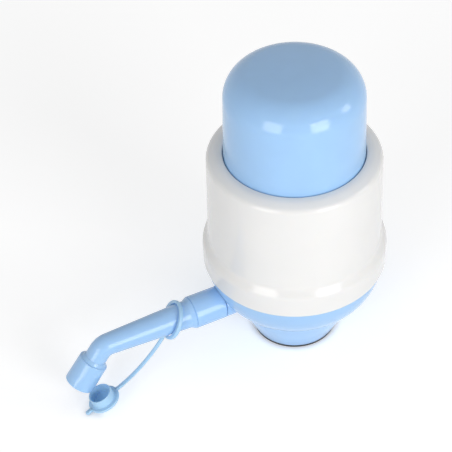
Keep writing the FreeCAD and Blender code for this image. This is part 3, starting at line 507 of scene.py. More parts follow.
def smoothed(tree, given, geometry):
    """Smooth faces, with edges kept sharp where the surface turns by more than the given angle."""
    smooth = node(tree, "GeometryNodeSetShadeSmooth", {"domain": "FACE"}, Geometry=geometry,
                  Shade_Smooth=True)
    angle = node(tree, "GeometryNodeInputMeshEdgeAngle").outputs["Unsigned Angle"]
    sharp = node(tree, "FunctionNodeCompare", {"operation": "GREATER_THAN"}, i0=angle,
                 i1=given["Sharp Angle"])
    return node(tree, "GeometryNodeSetShadeSmooth", {"domain": "EDGE"}, Geometry=smooth, Selection=sharp,
                Shade_Smooth=False)


def finished(tree, given, made):
    """Ends a tree: smooth faces, instances made real, then the material."""
    real_mesh = node(tree, "GeometryNodeRealizeInstances", Geometry=smoothed(tree, given, made))
    painted = node(tree, "GeometryNodeSetMaterial", Geometry=real_mesh, Material=given["Material"])
    node(tree, "NodeGroupOutput", Geometry=painted)
    return tree


@cache
def turning_tree():
    """Turns an outline, given as a chain of points in the XZ plane, into a closed body round the Z axis."""
    tree, given = new_tree("Turned body", {
        "Steps": NECK_STEPS, "Closed": True, "Sharp Angle": BODY_SHARP_ANGLE,
        "Merge Distance": MERGE_DISTANCE})
    chain, steps = given["Geometry"], given["Steps"]
    points = node(tree, "GeometryNodeAttributeDomainSize", {"component": "MESH"},
                  Geometry=chain).outputs["Point Count"]
    columns = maths(tree, "ADD", points, given["Closed"])
    width = maths(tree, "SUBTRACT", columns, 1.0)
    rows = maths(tree, "ADD", steps, 1.0)
    grid = node(tree, "GeometryNodeMeshGrid", Size_X=width, Size_Y=steps, Vertices_X=columns, Vertices_Y=rows)
    where = node(tree, "GeometryNodeInputPosition")
    split = node(tree, "ShaderNodeSeparateXYZ", Vector=where)
    column = maths(tree, "ROUND", maths(tree, "ADD", split.outputs["X"], maths(tree, "MULTIPLY", width, 0.5)))
    row = maths(tree, "ADD", split.outputs["Y"], maths(tree, "MULTIPLY", steps, 0.5))
    index = maths(tree, "MODULO", column, points)
    outline_point = node(tree, "GeometryNodeSampleIndex", {"data_type": "FLOAT_VECTOR"}, Geometry=chain,
                         Value=where, Index=index)
    angle = maths(tree, "DIVIDE", maths(tree, "MULTIPLY", row, FULL_TURN), steps)
    rotated = node(tree, "ShaderNodeVectorRotate", {"rotation_type": "Z_AXIS"}, Vector=outline_point,
                   Angle=angle)
    body = node(tree, "GeometryNodeSetPosition", Geometry=grid, Position=rotated)
    return finished(tree, given, node(tree, "GeometryNodeMergeByDistance", Geometry=body,
                                      Distance=given["Merge Distance"]))


@cache
def circling_tree():
    """Copies a body round the Z axis."""
    tree, given = new_tree("Copies round the axis", {
        "Count": 6, "First Angle": 0.0, "Sharp Angle": BODY_SHARP_ANGLE})
    points = node(tree, "GeometryNodePoints", Count=given["Count"])
    index = node(tree, "GeometryNodeInputIndex")
    step = maths(tree, "DIVIDE", FULL_TURN, given["Count"])
    angle = maths(tree, "ADD", maths(tree, "MULTIPLY", index, step), given["First Angle"])
    rotation = node(tree, "ShaderNodeCombineXYZ", Z=angle)
    copies = node(tree, "GeometryNodeInstanceOnPoints", Points=points, Instance=given["Geometry"],
                  Rotation=rotation)
    return finished(tree, given, node(tree, "GeometryNodeRealizeInstances", Geometry=copies))


@cache
def strap_tree():
    """Sweeps a rounded rectangle along a chain of points that lies in the XY plane; its width is along Z."""
    tree, given = new_tree("Strap along a path", {
        "Width": 2 * MM, "Thickness": 1.5 * MM, "Rounding": 0.6 * MM, "Sharp Angle": STRAP_SHARP_ANGLE})
    path = node(tree, "GeometryNodeMeshToCurve", Mesh=given["Geometry"])
    upright = node(tree, "GeometryNodeSetCurveNormal", {"mode": "Z_UP"}, Curve=path)
    section = node(tree, "GeometryNodeCurvePrimitiveQuadrilateral", {"mode": "RECTANGLE"},
                   Width=given["Thickness"], Height=given["Width"])
    rounded = node(tree, "GeometryNodeFilletCurve", {"mode": "POLY"}, Curve=section, Count=FILLET_STEPS,
                   Radius=given["Rounding"])
    return finished(tree, given, node(tree, "GeometryNodeCurveToMesh", Curve=upright, Profile_Curve=rounded,
                                      Fill_Caps=True))


@cache
def coil_tree():
    """Coil spring that stands on the XY plane."""
    tree, given = new_tree("Coil spring", {
        "Radius": 18 * MM, "Wire": 1 * MM, "Height": 93 * MM, "Turns": 10, "Sharp Angle": COIL_SHARP_ANGLE})
    steps = maths(tree, "MULTIPLY", given["Turns"], float(COIL_STEPS))
    helix = node(tree, "GeometryNodeCurveSpiral", Resolution=COIL_STEPS, Rotations=given["Turns"],
                 Start_Radius=given["Radius"], End_Radius=given["Radius"], Height=given["Height"])
    even = node(tree, "GeometryNodeResampleCurve", Curve=helix, Count=steps)
    circle = node(tree, "GeometryNodeCurvePrimitiveCircle", Resolution=WIRE_STEPS, Radius=given["Wire"])
    return finished(tree, given, node(tree, "GeometryNodeCurveToMesh", Curve=even, Profile_Curve=circle,
                                      Fill_Caps=True))


def chain_mesh(points, closed=False):
    """Mesh of a chain of (x, z) or (x, y, z) points, joined by edges."""
    vertices = [(p[0], 0.0, p[1]) if len(p) == 2 else tuple(p) for p in points]
    edges = [(i, i + 1) for i in range(len(vertices) - 1)]
    if closed:
        edges.append((len(vertices) - 1, 0))
    mesh = bpy.data.meshes.new("chain")
    mesh.from_pydata(vertices, edges, [])
    return mesh


def added(name, data):
    """New object in the scene."""
    made = bpy.data.objects.new(name, data)
    bpy.context.scene.collection.objects.link(made)
    return made


def grown(tree, mesh, **inputs):
    """Plain mesh that a tree makes of the given one."""
    carrier = added("carrier", mesh)
    modifier = carrier.modifiers.new("shape", "NODES")
    modifier.node_group = tree
    for item in tree.interface.items_tree:
        key = item.name.lower().replace(" ", "_")
        if item.item_type == "SOCKET" and item.in_out == "INPUT" and key in inputs:
            modifier[item.identifier] = inputs[key]
    depsgraph = bpy.context.evaluated_depsgraph_get()
    result = bpy.data.meshes.new_from_object(carrier.evaluated_get(depsgraph), depsgraph=depsgraph)
    carrier.modifiers.remove(modifier)
    bpy.data.objects.remove(carrier)
    if not result.polygons:
        raise RuntimeError(f"the tree {tree.name} made no faces")
    return result


def turned(points, material, closed=True, steps=NECK_STEPS):
    """Body of revolution about Z from an outline that runs down its outer side."""
    return grown(turning_tree(), chain_mesh(points, closed), steps=steps, closed=closed, material=material)


def circled(mesh, count, first, material):
    return grown(circling_tree(), mesh, count=count, first_angle=first, material=material)


def bevelled(body, edges, bevel):
    """Ends a bmesh body: rounds the given edges and makes a mesh of it."""
    bmesh.ops.bevel(body, geom=edges, offset=bevel, segments=BEVEL_STEPS, profile=0.5, affect="EDGES")
    mesh = bpy.data.meshes.new("bevelled")
    body.to_mesh(mesh)
    body.free()
    return mesh


def rounded_box(low, high, bevel):
    """Box between two corners with rounded edges."""
    body = bmesh.new()
    bmesh.ops.create_cube(body, size=1)
    size = Vector(high) - Vector(low)
    middle = (Vector(high) + Vector(low)) / 2
    stretch = Matrix.Translation(middle) @ Matrix.Diagonal((*size, 1))
    bmesh.ops.transform(body, matrix=stretch, verts=body.verts)
    return bevelled(body, body.edges, bevel)


def rib_box(start, end, low, high, sizes):
    """Rib that runs along X between two levels."""
    side = sizes.rib_width / 2
    return rounded_box((start, -side, low), (end, side, high), sizes.rib_round)


def frame_matrix(origin, x_axis, y_axis, z_axis):
    """Matrix that puts a shape made about the origin into its place."""
    columns = Matrix((x_axis, y_axis, z_axis)).transposed()
    return Matrix.Translation(origin) @ columns.to_4x4()


def placed(mesh, matrix):
    mesh.transform(matrix)
    return mesh


def piece(name, meshes, material, body, nodes=()):
    """One object at the origin from several meshes, riding on a body."""
    whole = bmesh.new()
    for mesh in meshes:
        whole.from_mesh(mesh)
    joined = bpy.data.meshes.new(name)
    whole.to_mesh(joined)
    whole.free()
    for polygon in joined.polygons:
        polygon.material_index = 0
        polygon.use_smooth = True
    joined.materials.clear()
    joined.materials.append(material)
    made = added(name, joined)
    if body:
        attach(made, body)
    if nodes:
        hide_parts(*nodes)
    return made


# ---- Finishes ----
# Features per metre of each pattern
CLOUD_SCALE, STREAK_SCALE, GLOSS_SCALE, WAVE_SCALE, PAPER_SCALE = 38.0, 60.0, 210.0, 45.0, 300.0
STREAK_STRETCH = (1, 1, 0.06)
NOISE_ROUGHNESS = 0.55
NOISE_LOW, NOISE_HIGH = 0.3, 0.7
WAVE_HEIGHT = 0.05 * MM
SUBSURFACE_REACH = 1.5 * MM
SUBSURFACE_RADII = (1.0, 1.3, 2.0)
PAPER_DARKEST = 0.985


def noise(tree, scale, detail, stretch=(1, 1, 1)):
    """Noise on object coordinates, in features per metre."""
    coordinates = node(tree, "ShaderNodeTexCoord").outputs["Object"]
    mapped = node(tree, "ShaderNodeMapping", Vector=coordinates, Scale=stretch)
    return node(tree, "ShaderNodeTexNoise", Vector=mapped, Scale=scale, Detail=detail,
                Roughness=NOISE_ROUGHNESS)


def ranged(tree, value, low, high):
    """Moves the noise's middle range onto low to high."""
    return node(tree, "ShaderNodeMapRange", Value=value, From_Min=NOISE_LOW, From_Max=NOISE_HIGH,
                To_Min=low, To_Max=high)


def finish(name, base, roughness, spread, mottling, grain=1800.0, grain_height=0.004, streaks=0.0,
           metallic=0.0, subsurface=0.0):
    """Moulded or metal finish: mottled colour, uneven gloss and a fine grain, its height in millimetres."""
    material = bpy.data.materials.new(name)
    material.use_nodes = True
    tree = material.node_tree
    shader = tree.nodes["Principled BSDF"]
    clouds = ranged(tree, noise(tree, CLOUD_SCALE, detail=3.0), 1 - mottling, 1 + mottling / 2)
    lines = ranged(tree, noise(tree, STREAK_SCALE, 2.0, STREAK_STRETCH), 1 - streaks, 1)
    shade = maths(tree, "MULTIPLY", clouds, lines)
    tone = node(tree, "ShaderNodeVectorMath", {"operation": "SCALE"}, i0=tuple(base), Scale=shade)
    gloss = ranged(tree, noise(tree, GLOSS_SCALE, detail=5.0), roughness - spread, roughness + spread)
    skin = node(tree, "ShaderNodeBump", Strength=1.0, Distance=grain_height * MM,
                Height=noise(tree, grain, detail=2.0))
    waves = node(tree, "ShaderNodeBump", Strength=1.0, Distance=WAVE_HEIGHT,
                 Height=noise(tree, WAVE_SCALE, detail=1.0), Normal=skin)
    wire(tree, shader, Base_Color=tone, Roughness=gloss, Normal=waves, Metallic=metallic,
         Subsurface_Weight=subsurface, Subsurface_Radius=SUBSURFACE_RADII, Subsurface_Scale=SUBSURFACE_REACH)


def finishes():
    """The pump's finishes, made once and kept by name."""
    colours = bpy.context.scene.pump_colours
    if "blue gloss plastic" not in bpy.data.materials:
        finish("blue gloss plastic", colours.blue, roughness=0.13, spread=0.02, mottling=0.03, streaks=0.015,
               subsurface=0.12)
        finish("white gloss plastic", colours.white, roughness=0.14, spread=0.02, mottling=0.015,
               streaks=0.01, subsurface=0.08)
        finish("tether plastic", colours.tether, roughness=0.36, spread=0.05, mottling=0.04, grain=2600.0,
               grain_height=0.008, subsurface=0.15)
        finish("black rubber", colours.rubber, roughness=0.62, spread=0.08, mottling=0.2, grain=3200.0,
               grain_height=0.02)
        finish("bellows rubber", colours.bellows, roughness=0.55, spread=0.06, mottling=0.06, grain=2400.0,
               grain_height=0.015)
        finish("inner plastic", colours.inner, roughness=0.4, spread=0.05, mottling=0.04, grain_height=0.01)
        finish("zinc steel", colours.steel, roughness=0.3, spread=0.08, mottling=0.1, grain=900.0,
               grain_height=0.006, streaks=0.08, metallic=1.0)
    return bpy.data.materials


# ---- Push cap ----
def dome_points(sizes, inset, steps=28):
    """Crown and rounded edge of the cap, from the axis to its side, moved inwards by a wall."""
    side = sizes.radius - sizes.draft
    edge_r = side - sizes.dome_round
    crown_z = CAP_HIGH.z - sizes.crown_radius
    rise = math.sqrt((sizes.crown_radius - sizes.dome_round) ** 2 - edge_r ** 2)
    meeting = math.atan2(rise, edge_r)
    crown = arc((0, crown_z), sizes.crown_radius - inset, math.pi / 2, meeting, steps)
    crown[0] = (0.0, crown[0][1])
    edge = arc((edge_r, crown_z + rise), sizes.dome_round - inset, meeting, 0, steps)
    return crown + edge[1:]


def dome_height(sizes, radius):
    """Level of the middle of the cap's wall at a distance from the axis."""
    points = dome_points(sizes, sizes.wall / 2)
    for (r0, z0), (r1, z1) in zip(points, points[1:]):
        if r0 <= radius <= r1:
            return z0 + (z1 - z0) * (radius - r0) / (r1 - r0)
    return points[-1][1]


def raised(mesh, level, sizes):
    """Moves the top of a post or rib up to the dome."""
    for vertex in mesh.vertices:
        if vertex.co.z > level:
            vertex.co.z = dome_height(sizes, math.hypot(vertex.co.x, vertex.co.y))
    return mesh


class PUMP_OT_push_cap(bpy.types.Operator):
    """Makes the domed push cap with its flange, screw posts and pressing ribs"""
    bl_idname = "pump.push_cap"
    bl_label = "Push cap"

    def execute(self, context):
        sizes = context.scene.pump_cap
        blue = finishes()["blue gloss plastic"]
        inner_r = sizes.radius - sizes.wall
        flange_top = CAP_LOW.z + sizes.flange_height
        outer, inner = dome_points(sizes, 0), dome_points(sizes, sizes.wall)
        skirt = outline([
            outer[-1], (sizes.radius, HOUSING_HIGH.z), (sizes.radius, flange_top),
            (CAP_HIGH.x, flange_top, sizes.flange_round), (CAP_HIGH.x, CAP_LOW.z, sizes.flange_round),
            (inner_r, CAP_LOW.z), (inner_r, HOUSING_HIGH.z)])
        shell = turned(outer + skirt[1:] + inner[::-1], blue, closed=False, steps=SHELL_STEPS)
        low = PLATE_HIGH.z
        high, foot = low + sizes.post_height, low + sizes.post_foot
        post = turned([(0, high), (sizes.post_radius, high), (sizes.post_radius, low), (0, low)], blue,
                      closed=False, steps=POST_STEPS)
        post.transform(Matrix.Translation((sizes.post_place, 0, 0)))
        rib = rib_box(sizes.rib_start, sizes.rib_end, low, high, sizes)
        posts = circled(raised(post, foot, sizes), sizes.posts, 0.0, blue)
        ribs = circled(raised(rib, foot, sizes), sizes.ribs, FULL_TURN / sizes.ribs / 2, blue)
        piece("domed_cap", [shell, posts, ribs], blue, "cap", ["push_cap"])
        return {"FINISHED"}


# ---- Housing ----
class PUMP_OT_housing(bpy.types.Operator):
    """Makes the white housing: band, flare, wall, shoulder, opening and guide ribs"""
    bl_idname = "pump.housing"
    bl_label = "Housing"

    def execute(self, context):
        sizes = context.scene.pump_housing
        white = finishes()["white gloss plastic"]
        band_r = HOUSING_HIGH.x
        foot, top, wall = HOUSING_LOW.z, HOUSING_HIGH.z, sizes.wall
        ceiling = top - sizes.top_wall
        shell = turned(outline([
            (sizes.opening_radius, top, sizes.opening_round),
            (sizes.crown_radius, top, sizes.crown_round),
            (sizes.shoulder_radius, top - sizes.crown_drop, sizes.shoulder_round),
            (sizes.waist_radius, sizes.flare_high, sizes.flare_round),
            (band_r, sizes.flare_low, sizes.flare_round),
            (band_r, foot, sizes.band_round),
            (band_r - wall, foot),
            (band_r - wall, sizes.flare_low, sizes.flare_round),
            (sizes.waist_radius - wall, sizes.flare_high, sizes.flare_round),
            (sizes.shoulder_radius - wall, ceiling, sizes.crown_drop),
            (sizes.opening_radius, ceiling)], steps=12), white, steps=SHELL_STEPS)
        rib = rib_box(sizes.rib_start, sizes.rib_end, sizes.rib_low, ceiling + sizes.rib_bite, sizes)
        ribs = circled(rib, sizes.ribs, 0.0, white)
        piece("housing", [shell, ribs], white, "pump_body", ["housing_shell"])
        return {"FINISHED"}


# ---- Bowl ----
class PUMP_OT_bowl(bpy.types.Operator):
    """Makes the lower bowl with the spout's boss"""
    bl_idname = "pump.bowl"
    bl_label = "Bowl"

    def execute(self, context):
        blue = finishes()["blue gloss plastic"]
        copy = frame["nodes"]["base_bowl"].data.copy()
        body = bmesh.new()
        body.from_mesh(copy)
        bmesh.ops.remove_doubles(body, verts=body.verts, dist=MERGE_DISTANCE)
        for edge in body.edges:
            edge.smooth = len(edge.link_faces) == 2 and edge.calc_face_angle() < BOWL_SHARP_ANGLE
        body.to_mesh(copy)
        body.free()
        piece("bowl", [copy], blue, "pump_body", ["base_bowl"])
        return {"FINISHED"}


# ---- Neck ----
class PUMP_OT_neck(bpy.types.Operator):
    """Makes the neck cone with its ribs, and the rubber gasket inside it"""
    bl_idname = "pump.neck"
    bl_label = "Neck"

    def execute(self, context):
        sizes = context.scene.pump_neck
        blue, rubber = finishes()["blue gloss plastic"], finishes()["black rubber"]
        foot = CONE_LOW.z
        slope = (CONE_HIGH.x - sizes.foot_radius) / (sizes.top_level - foot)
        edge = foot + sizes.foot_lift
        wall_across = sizes.wall * math.sqrt(1 + slope ** 2)

        def inside(level):
            return sizes.foot_radius + slope * (level - foot) - wall_across

        valley = foot + (sizes.tube_radius + wall_across - sizes.foot_radius) / slope
        spigot_in = sizes.spigot_radius - sizes.spigot_wall
        cone = turned(outline([
            (sizes.spigot_radius, CONE_HIGH.z), (sizes.spigot_radius, sizes.top_level),
            (CONE_HIGH.x, sizes.top_level, sizes.edge_round),
            (inside(edge) + wall_across, edge, sizes.foot_round),
            (sizes.gasket_radius, edge), (sizes.gasket_radius, sizes.ledge_low),
            (sizes.ledge_bore, sizes.ledge_low), (sizes.ledge_bore, sizes.ledge_high),
            (sizes.tube_radius, sizes.ledge_high), (sizes.tube_radius, valley),
            (spigot_in, sizes.top_level - sizes.wall), (spigot_in, CONE_HIGH.z)]), blue)
        rib = rib_box(sizes.tube_radius - sizes.rib_bite, sizes.tube_radius + sizes.wall,
                      valley - sizes.rib_bite, sizes.ledge_high, sizes)
        for vertex in rib.vertices:
            if vertex.co.x > sizes.tube_radius:
                vertex.co.x = inside(vertex.co.z) + sizes.wall / 2
        ribs = circled(rib, sizes.ribs, 0.0, blue)
        piece("cone", [cone, ribs], blue, "pump_body", ["neck_cone"])
        # The gasket's black lip, showing below the cone's foot, is the real seal and also stands in for the
        # dark line of shade under the rim, a painted shadow.
        gasket = turned(outline([
            (GASKET_HIGH.x, edge), (GASKET_HIGH.x, 0, sizes.lip_round),
            (sizes.gasket_bore, 0, sizes.lip_round),
            (sizes.gasket_bore, GASKET_HIGH.z, sizes.lip_round), (sizes.gasket_radius, GASKET_HIGH.z),
            (sizes.gasket_radius, edge)], steps=5), rubber)
        piece("gasket", [gasket], rubber, "pump_body", ["neck_gasket"])
        return {"FINISHED"}


# ---- Spout ----
def bend_start(sizes):
    """Where the arm's straight part ends."""
    return sizes.corner - sizes.bend_radius * math.tan(sizes.bend_angle / 2)


def bent(mesh, sizes):
    """Lays a body made along Z onto the spout's centreline."""
    start = bend_start(sizes)
    bend_length = sizes.bend_radius * sizes.bend_angle
    for vertex in mesh.vertices:
        across, side, along = vertex.co
        angle = min(max(along - start, 0), bend_length) / sizes.bend_radius
        outward = UP * math.cos(angle) + SPOUT_AXIS * math.sin(angle)
        forward = SPOUT_AXIS * math.cos(angle) - UP * math.sin(angle)
        straight = min(along, start)
        past = max(along - start - bend_length, 0)
        centre = SPOUT_AXIS * straight + UP * (SPOUT_PIVOT.z - sizes.bend_radius)
        vertex.co = centre + outward * (sizes.bend_radius + across) + forward * past + SIDE * side
    return mesh


class PUMP_OT_spout(bpy.types.Operator):
    """Makes the spout's arm and the nozzle on its bent end"""
    bl_idname = "pump.spout"
    bl_label = "Spout"

    def execute(self, context):
        sizes = context.scene.pump_spout
        blue = finishes()["blue gloss plastic"]
        start = bend_start(sizes)
        bend_length = sizes.bend_radius * sizes.bend_angle
        end = start + bend_length + sizes.tip_length - (sizes.corner - start)
        grooves = []
        middle = (sizes.spigot_start + sizes.sleeve_start - sizes.boss_gap) / 2
        floor_r = sizes.spigot_radius - sizes.groove_width
        crease = sizes.sleeve_end - sizes.sleeve_step
        for i in reversed(range(sizes.grooves)):
            level = middle + (i - (sizes.grooves - 1) / 2) * sizes.groove_pitch
            high, low = level + sizes.groove_width / 2, level - sizes.groove_width / 2
            grooves += [(sizes.spigot_radius, high), (floor_r, high), (floor_r, low),
                        (sizes.spigot_radius, low)]
        corners = [
            (sizes.tip_radius, end), (sizes.tip_radius, start),
            (sizes.tube_radius, sizes.sleeve_end, sizes.step_root),
            (sizes.sleeve_radius - sizes.slope_drop, crease),
            (sizes.sleeve_radius - sizes.crease_depth, crease - sizes.crease_width / 2),
            (sizes.sleeve_radius, crease - sizes.crease_width, sizes.sleeve_round),
            (sizes.sleeve_radius, sizes.sleeve_start, sizes.seam_round),
            (sizes.spigot_radius, sizes.sleeve_start), *grooves,
            (sizes.spigot_radius, sizes.spigot_start, sizes.spigot_round), (sizes.bore, sizes.spigot_start),
            (sizes.bore_end, start), (sizes.bore_end, end)]
        stops = [start + bend_length * i / BEND_STEPS for i in range(1, BEND_STEPS + 1)]
        arm = bent(turned(with_stops(outline(corners), stops), blue, steps=SPOUT_STEPS), sizes)
        piece("arm", [arm], blue, "spout", ["spout_arm"])
        socket_r = sizes.tip_radius + sizes.socket_gap
        socket_end = sizes.tip_length + sizes.socket_depth_gap
        collar_top = sizes.nozzle_start - sizes.collar_length
        collar_r = sizes.tip_radius + sizes.collar_wall
        nozzle = turned(outline([
            (sizes.nozzle_end_radius, sizes.nozzle_end, sizes.mouth_round),
            (sizes.nozzle_top_radius, sizes.nozzle_start, sizes.nozzle_round),
            (collar_r + sizes.collar_flare, sizes.nozzle_start, sizes.collar_round), (collar_r, collar_top),
            (socket_r, collar_top), (socket_r, socket_end), (sizes.bore, socket_end),
            (sizes.nozzle_bore, sizes.nozzle_bore_start),
            (sizes.nozzle_bore, sizes.nozzle_end, sizes.mouth_round)]), blue, steps=SPOUT_STEPS)
        tip = SPOUT_AXIS * math.cos(sizes.bend_angle) - UP * math.sin(sizes.bend_angle)
        outward = UP * math.cos(sizes.bend_angle) + SPOUT_AXIS * math.sin(sizes.bend_angle)
        corner = SPOUT_AXIS * sizes.corner + UP * SPOUT_PIVOT.z
        placed(nozzle, frame_matrix(corner, outward, SIDE, tip))
        piece("nozzle", [nozzle], blue, "spout", ["spout_nozzle"])
        return {"FINISHED"}


# ---- Tether ----
def rounded_slab(start, end, width, thickness, bevel, round_end=False):
    """Flat bar along X, centred on the X axis; its far end may be a half round."""
    half = width / 2
    if round_end:
        tip = arc((end - half, 0), half, -math.pi / 2, math.pi / 2, TIP_STEPS)
    else:
        tip = [(end, -half), (end, half)]
    rim = [(start, half), (start, -half)]
    body = bmesh.new()
    face = body.faces.new([body.verts.new((x, y, -thickness / 2)) for x, y in tip + rim])
    extruded = bmesh.ops.extrude_face_region(body, geom=[face])
    top = [v for v in extruded["geom"] if isinstance(v, bmesh.types.BMVert)]
    bmesh.ops.translate(body, verts=top, vec=(0, 0, thickness))
    bmesh.ops.recalc_face_normals(body, faces=body.faces)
    rims = [e for e in body.edges if abs(e.verts[0].co.z - e.verts[1].co.z) < thickness / 2]
    return bevelled(body, rims, bevel)


def strap_along(path, sizes, material, matrix):
    """Strap along a chain of (x, y) points, laid into its place."""
    strap = grown(strap_tree(), chain_mesh([(x, y, 0.0) for x, y in path]), width=sizes.strap_width,
                  thickness=sizes.strap_thickness, rounding=sizes.strap_round, material=material)
    return placed(strap, matrix)


class PUMP_OT_tether(bpy.types.Operator):
    """Makes the loose ring, the strap with its flexing necks, and the dust cap"""
    bl_idname = "pump.tether"
    bl_label = "Tether"

    def execute(self, context):
        sizes = context.scene.pump_tether
        soft = finishes()["tether plastic"]
        turned_by = Matrix.Rotation(-sizes.ring_turn, 3, "Z")
        axis = turned_by @ (SPOUT_AXIS * math.cos(sizes.ring_tilt) + UP * math.sin(sizes.ring_tilt))
        down = turned_by @ (SPOUT_AXIS * math.sin(sizes.ring_tilt) - UP * math.cos(sizes.ring_tilt))
        half = sizes.ring_width / 2
        band = turned(outline([
            (sizes.ring_outer, half, sizes.ring_outer_round),
            (sizes.ring_outer, -half, sizes.ring_outer_round),
            (sizes.ring_inner, -half, sizes.ring_inner_round),
            (sizes.ring_inner, half, sizes.ring_inner_round)], steps=6), soft, steps=SOFT_STEPS)
        for vertex in band.vertices:
            if math.hypot(vertex.co.x, vertex.co.y) < (sizes.ring_inner + sizes.ring_outer) / 2:
                vertex.co.y *= 1 - sizes.ring_oval
        lug = rounded_slab(sizes.lug_start, sizes.lug_end, sizes.strap_width, sizes.strap_thickness,
                           sizes.lug_round)
        centre = Vector(sizes.ring_place)
        placed(band, frame_matrix(centre, down, axis.cross(down), axis))
        placed(lug, frame_matrix(centre, down, STRAP_BEND, down.cross(STRAP_BEND)))
        piece("ring", [band, lug], soft, "ring", ["tether_ring"])

        chord = STRAP_END - STRAP_START
        along = chord.normalized()
        sag = STRAP_BEND.cross(along).normalized()
        if sag.dot(down) < 0:
            sag = -sag
        points = three_point_arc((0, 0), (chord.length / 2, sizes.strap_sag), (chord.length, 0),
                                 sizes.strap_steps)
        strap = strap_along(points, sizes, soft, frame_matrix(STRAP_START, along, sag, along.cross(sag)))
        piece("strap", [strap], soft, "strap", ["cap_strap"])

        dust = Vector(sizes.dust_place)
        tab = dust - STRAP_END
        tab = (tab - DUST_ACROSS * tab.dot(DUST_ACROSS)).normalized()
        start_way = (Vector(points[1]) - Vector(points[0])).normalized()
        end_way = (Vector(points[-1]) - Vector(points[-2])).normalized()
        necks = (
            ("ring", "strap", STRAP_START, down, along * start_way.x + sag * start_way.y, STRAP_BEND),
            ("strap", "dust", STRAP_END, along * end_way.x + sag * end_way.y, tab, DUST_ACROSS))
        reach = sizes.neck_length / 2
        for near, far, pivot, way_in, way_out, across in necks:
            path = [pivot - way_in * reach, pivot - way_in * reach / 2, pivot,
                    pivot + way_out * reach / 2, pivot + way_out * reach]
            local_x = (path[-1] - path[0]).normalized()
            local_y = across.cross(local_x).normalized()
            back = frame_matrix(pivot, local_x, local_y, local_x.cross(local_y))
            local = [(back.inverted() @ point).xy for point in path]
            neck = strap_along(local, sizes, soft, back)
            made = piece(f"{far}_neck", [neck], soft, None)
            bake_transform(made)

        half = sizes.flange_thickness / 2
        rim = half + sizes.plug_height
        floor = sizes.plug_wall - half
        body = turned(outline([
            (0, floor), (sizes.plug_radius - sizes.plug_wall, floor, sizes.floor_round),
            (sizes.plug_end_radius - sizes.plug_wall, rim, sizes.plug_round),
            (sizes.plug_end_radius, rim, sizes.plug_round), (sizes.plug_radius, half, sizes.plug_root),
            (sizes.flange_radius, half, sizes.flange_round), (sizes.flange_radius, -half, sizes.flange_round),
            (0, -half)], steps=6), soft, closed=False, steps=SOFT_STEPS)
        flange, bite = sizes.flange_radius, sizes.dust_lug_length
        pull = rounded_slab(flange - bite, flange + sizes.tab_length, sizes.tab_width, sizes.flange_thickness,
                            sizes.tab_round, round_end=True)
        lug = rounded_slab(flange - bite, flange + bite, sizes.strap_width, sizes.flange_thickness,
                           sizes.tab_round)
        lug.transform(Matrix.Rotation(math.pi, 4, "Z"))
        across = frame_matrix(dust, tab, DUST_ACROSS, tab.cross(DUST_ACROSS))
        piece("dust_plug", [placed(mesh, across) for mesh in (body, pull, lug)], soft, "dust",
              ["dust_cap"])
        return {"FINISHED"}


# ---- Bellows and spring ----
class PUMP_OT_squeeze(bpy.types.Operator):
    """Makes the bellows and the return spring"""
    bl_idname = "pump.squeeze"
    bl_label = "Bellows and spring"

    def execute(self, context):
        sizes = context.scene.pump_squeeze
        rubber, steel = finishes()["bellows rubber"], finishes()["zinc steel"]
        low_face, high_face = BELLOWS_LOW.z, BELLOWS_HIGH.z
        low, high = low_face + sizes.flange, high_face - sizes.flange
        neck, crest = sizes.neck_radius, sizes.neck_radius + sizes.fold_depth
        fold = (high - low - sizes.low_neck - sizes.high_neck) / sizes.folds
        outside = [(sizes.high_flange_radius, high_face), (sizes.high_flange_radius, high), (neck, high)]
        inside = []
        bore = neck - sizes.wall
        for i in range(sizes.folds):
            root = high - sizes.high_neck - i * fold
            outside += [(neck, root, sizes.fold_round), (crest, root - fold / 2, sizes.fold_round)]
            inside += [(bore, root, sizes.fold_round),
                       (crest - sizes.wall, root - fold / 2, sizes.fold_round)]
        last = low + sizes.low_neck
        outside += [(neck, last, sizes.fold_round), (neck, low), (sizes.low_flange_radius, low),
                    (sizes.low_flange_radius, low_face)]
        inside = [(bore, high_face)] + inside + [(bore, last), (bore, low_face)]
        skin = turned(outline(outside + inside[::-1], steps=3), rubber, steps=SOFT_STEPS)
        coil = grown(coil_tree(), chain_mesh([(0, 0), (0, MM)]), radius=sizes.spring_radius,
                     wire=sizes.spring_wire, height=high_face - low_face - 2 * sizes.spring_wire,
                     turns=sizes.spring_turns, material=steel)
        placed(coil, Matrix.Translation((0, 0, low_face + sizes.spring_wire)))
        for made in (piece("folded_bellows", [skin], rubber, "pump_body", ["bellows"]),
                     piece("coil_spring", [coil], steel, "pump_body", ["return_spring"])):
            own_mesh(made)
        return {"FINISHED"}


# ---- Inner parts ----
INNER_FINISHES = {
    "inner plastic": ("pressing_plate", "bellows_top_ring", "bellows_base_ring", "valve_deck", "water_elbow",
                      "valve_clip"),
    "zinc steel": ("plate_screws", "base_ring_screws", "deck_screws", "elbow_screw"),
    "black rubber": ("intake_valve", "deck_seal", "housing_seal", "elbow_seal", "outlet_valve", "neck_washer",
                     "spout_seals"),
}


class PUMP_OT_inner_parts(bpy.types.Operator):
    """Gives plates, rings, valves, seals and screws their finishes"""
    bl_idname = "pump.inner_parts"
    bl_label = "Inner parts"

    def execute(self, context):
        for name, members in INNER_FINISHES.items():
            material = finishes()[name]
            for member in members:
                for material_slot in frame["nodes"][member].material_slots:
                    material_slot.material = material
        return {"FINISHED"}


# ---- Stage ----
SHADE_SAMPLES = 8
SENSOR_WIDTH = 36
CLIP_START, CLIP_END = 0.05, 50


def direction(azimuth, elevation):
    """Unit vector towards a place; azimuth 0 is in front, along -Y."""
    level = math.cos(elevation)
    return Vector((math.sin(azimuth) * level, -math.cos(azimuth) * level, math.sin(elevation)))


